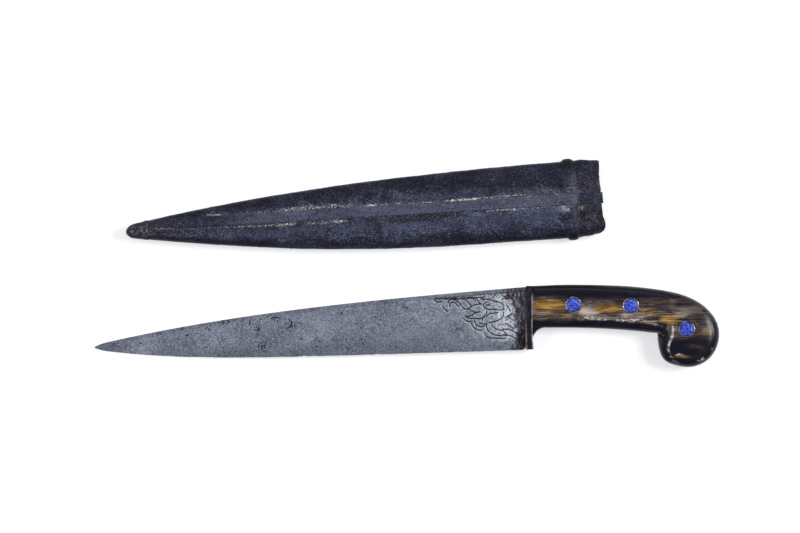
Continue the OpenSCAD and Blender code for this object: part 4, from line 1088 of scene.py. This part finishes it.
def cover_fields(points, at, outside, front, crack):
    """The cover's colours, wear, painted shade and painted highlights, by name."""
    x, y, _ = points.T
    up = way_up(at, y)
    above = y - strip_y(at) - strip_half(at)
    below = strip_y(at) - strip_half(at) - y
    cloud = rough(points, 16, 3, 31)
    near_tip = fall(at, -240, -150)
    broken = unit(0.6 + 1.7 * rough(points, 1.8, 4, 12))
    # The leather grows browner over the cord toward the mouth
    toned = step(at, CORD_X + 1, CORD_X + 9)
    # Darker toward the lower and upper outlines: painted shade where the cover rounds away
    dark = most(fall(up, 0.02, 0.26), step(up, 0.62, 0.93))
    dark += 0.22 * step(at, -110, -50) * step(up, 0.55, 0.7) + 0.35 * step(up, 0.55, 0.75) * cloud
    dark += 0.22 * near_tip + 0.4 * fall(at, -258, -232)
    # Painted shade on either side of the swell over the cord
    dark += 0.5 * (hump(at, CORD_X - 7, 4) + hump(at, CORD_X + 7, 3)) * step(up, 0.5, 0.8)
    # The darkness of the crack is painted shade
    dark = most(dark, 0.45 * toned, 0.9 * crack,
        *(d * broken * front for d in places(at, above, DARK_PLACES, 3, 3)),
        *(d * unit(1.6 * broken) * front for d in places(x, y, BLACK_SCUFFS, 4, 4)))
    # Painted highlight in bands below and above the strip, and on the swell over the cord
    sheen = 0.85 * hump(below, 5.5, 3.8) * (1 - 0.6 * step(cloud, 0, 0.5)) + 0.5 * hump(above, 3.4, 3)
    sheen = np.where(front, sheen * (1 - 0.85 * toned), 0.2) * (1 - 0.7 * near_tip)
    sheen = most(sheen, 0.3 * hump(at, CORD_X - 1, 2.6) * front)
    brown = 0.18 * step(rough(points, 20, 3, 5), 0, 0.4) + 0.1 * rough(points, 8, 3, 6) + 0.3 * toned
    brown += 0.15 * fall(at, -245, -215) + front * sum(places(at, below, PATCHES, 4))
    tan = front * most(wear(at, UPPER_WEAR, above), wear(at, LOWER_WEAR, below),
        *places(x, y, PALE_SCUFFS, 4, 4))
    warm = most(0.95 * toned, 0.5 * fall(at, -262, -215),
        0.6 * step(at, -90, -20) * step(up, 0.62, 0.8))
    return {"dark": np.clip(dark, 0, 1.35), "sheen": sheen * outside, "brown": brown * outside,
        "tan": tan * outside, "warm": warm}


def tip_cap():
    end = CAP_EDGE - FIT
    out = np.r_[nose_xs(0, 12), TIP_X + 5:CAP_EDGE - 0.5:0.4]
    inner = np.r_[nose_xs(CAP_THICK, 10), TIP_X + 5.6:CAP_EDGE - 0.5:0.9][::-1]
    rise = (CAP_PROUD * unit((out - TIP_X) / CAP_LENGTH))[:, None]
    points, at, outside, faces = skin(CAP_AROUND, (out, 0, rise, 0.3, 1),
        ([end - 0.25], 0, CAP_PROUD * 0.75, 0.3, 0), ([end - 0.06], 0, CAP_PROUD * 0.35, 0.3, 0),
        ([end], 0.25, 0, 0, 0), ([end], CAP_THICK, 0, 0, 0), (inner, CAP_THICK, 0, 0, 0))
    folds, lumps = rough(points * (0.7, 0.5, 0.5), 1.6, 4, 3), rough(points, 4.5, 3, 4)
    amount = np.clip(0.24 * folds + 0.18 * lumps - 0.1, -0.45, 0.12) * outside
    points = points + outward(points, at, 0.5) * amount[:, None]
    # The rim is cut unevenly
    rim = step(at, CAP_EDGE - 4, end)
    points[:, 0] -= rim * np.clip(0.5 * rough(points * (0, 1, 1), 4, 3, 2) + 0.2, 0, 0.8)
    points = clip_floor(points)
    up = way_up(at, points[:, 1])
    brown = 0.2 + 0.2 * hump(up, 0.45, 0.22) + 0.3 * lumps
    # The tan on the fold crests across the cap's middle is a painted highlight
    tan = 0.38 * hump(up, 0.45, 0.16) * step(folds, -0.1, 0.3) * (points[:, 2] > 0)
    # Dark toward the lower and upper outlines and in the folds' hollows: painted shade
    piece("scabbard_tip_cap", "tip_cap", "scabbard", "cap_leather", points, faces, 55,
        dark=most(fall(up, 0.02, 0.3), step(up, 0.62, 0.95), np.clip(-2.2 * folds, 0, 0.9)),
        brown=brown * outside, tan=tan * outside)


def front_height(x, y):
    top, low, front = cover_top(x) + bump_at(x), cover_low(x) - bump_at(x), cover_front(x) + bump_at(x)
    return front * unit(1 - np.abs((2 * y - top - low) / (top - low)) ** 3) ** (1 / 3)


def seam_strip():
    end = MOUTH + STRIP_REACH
    rows = np.r_[CAP_EDGE + 0.6, CAP_EDGE + 1.4:CORD_X - 8:0.9, CORD_X - 7.6:end - 0.2:0.45, end]
    over, under = np.linspace(-1, 1, 33), np.linspace(1, -1, 13)[1:-1]
    x = rows[:, None]
    wave = rough(np.c_[rows / 9, 0 * rows + 3.1, 0 * rows], 1, 3)[:, None]
    half = strip_half(x) * (0.985 + 0.015 * wave)
    corner = np.abs(over) ** 10
    # Toward the tip the strip is worn thin
    height = STRIP_HEIGHT * mix(0.35, 1, step(x, -250, -190))
    y_over, y_under = strip_y(x) + half * over * (1 - 0.06 * corner), strip_y(x) + half * 0.97 * under
    z_over = front_height(x, y_over) + 2 * FIT + height * (1 - 0.16 * over ** 2 - 0.72 * corner)
    y, z = np.hstack([y_over, y_under]), np.hstack([z_over, front_height(x, y_under) + 2 * FIT])
    at = np.broadcast_to(x, y.shape).ravel()
    points = np.stack([x - slant(x) * y, y, z], -1).reshape(-1, 3)
    across, is_over = (np.tile(np.hstack([v, 0 * under]), len(rows)) for v in (over, 0 * over + 1))
    edge = step(np.abs(across), 0.82, 0.97) * is_over
    fray = rough(points * (1, 0, 0) + np.c_[0 * at, 9.0 * (across > 0), 0 * at], 3, 4, 3)
    points[:, 2] -= is_over * 0.12 * unit(rough(points, 3, 4, 2)) + 0.34 * edge * unit(fray)
    near_tip = fall(at, -230, -175)
    on_collar = step(at, CORD_X + 2, CORD_X + 7) * (1 - 0.4 * step(at, MOUTH - 6, MOUTH - 4))
    dark = most(0.95 * on_collar, near_tip * mix(0.75, 0.95, step(across, 0.1, 0.7)), 0.35 * edge)
    # The strip gets a painted highlight, none near the tip
    piece("scabbard_seam_strip", "seam_strip", "scabbard", "strip_leather", points,
        tube_faces(len(rows), y.shape[1]), 60, dark=dark, sheen=0.25 * (1 - near_tip),
        brown=0.12 + 0.2 * rough(points, 12, 3, 4) + 0.25 * hump(at, CORD_X - 6, 5),
        tan=edge * np.where(across > 0, read_off(at, UPPER_WEAR), 0.6 * read_off(at, LOWER_WEAR)))


blade()
for side, word in ((1, "left"), (-1, "right")):
    bolster(side, word)
    scale(side, word)
    for which in RIVETS:
        cup(side, word, which)
        stone(side, word, which)
leather_cover()
tip_cap()
seam_strip()

# The CAD's own pieces that lie hidden
HIDDEN = ((core_wood(), ("scabbard_core_front", "scabbard_core_back")), (cord_fibre(), ("throat_cord",)),
    (brass(), ("rivet_front", "rivet_middle", "rivet_rear")))
for material, nodes in HIDDEN:
    for node in nodes:
        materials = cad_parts[node].data.materials
        materials.clear()
        materials.append(material)

# Floor, lamps and camera, in metres
FLOOR_REACH, FLOOR_COLOUR, FLOOR_GLOW = 9, (0.56, 0.565, 0.58, 1), 0.52
WORLD_COLOUR, WORLD_STRENGTH = (0.93, 0.95, 1, 1), 0.3
SENSOR, PICTURE_WIDTH, DISTANCE, VIEW_AT = 36, 0.48, 4.2, (-0.00455, -0.00215, 4.208)


def floor():
    """Pale floor that keeps shadows and glows a little, so that it is as pale as the photograph's."""
    r = FLOOR_REACH
    mesh = bpy.data.meshes.new("floor")
    mesh.from_pydata([(-r, -r, 0), (r, -r, 0), (r, r, 0), (-r, r, 0)], [], [(0, 1, 2, 3)])
    m = Nodes("floor")
    m.tree.nodes.remove(m.shader)
    rays = m.add("LightPath").outputs
    seen = m.most(*(Value(m, rays[k]) for k in ("Is Camera Ray", "Is Glossy Ray", "Is Transmission Ray")))
    diffuse, glow, both = m.add("BsdfDiffuse"), m.add("Emission"), m.add("AddShader")
    m.give(diffuse, Color=FLOOR_COLOUR)
    m.give(glow, Strength=seen * FLOOR_GLOW)
    m.put(both.inputs[0], Value(m, diffuse.outputs[0]))
    m.put(both.inputs[1], Value(m, glow.outputs[0]))
    m.give(m.tree.nodes["Material Output"], Surface=Value(m, both.outputs[0]))
    mesh.materials.append(m.material)
    shown("floor", mesh)


def lamp(name, place, size, watts):
    light = bpy.data.lights.new(name, "AREA")
    light.shape = "RECTANGLE"
    light.size, light.size_y = size
    light.energy = watts
    obj = shown(name, light)
    obj.location = place
    obj.rotation_euler = (-Vector(place)).to_track_quat("-Z", "Y").to_euler()


floor()
lamp("lamp_right", (1.4, 0.35, 1.45), (0.8, 0.8), 33)
lamp("lamp_left", (-1.5, 0.1, 1.3), (0.9, 0.9), 18)
lamp("lamp_back", (0.1, 1.7, 1.3), (1.4, 0.8), 4)

world = bpy.data.worlds.new("studio")
world.use_nodes = True
world.node_tree.nodes["Background"].inputs["Color"].default_value = WORLD_COLOUR
world.node_tree.nodes["Background"].inputs["Strength"].default_value = WORLD_STRENGTH
bpy.context.scene.world = world

camera = bpy.data.cameras.new("camera")
camera.sensor_width = SENSOR
camera.lens = SENSOR * DISTANCE / PICTURE_WIDTH
camera.clip_end = 20
view = shown("camera", camera)
view.location = VIEW_AT
bpy.context.scene.camera = view
bpy.context.scene.view_settings.view_transform = "Standard"
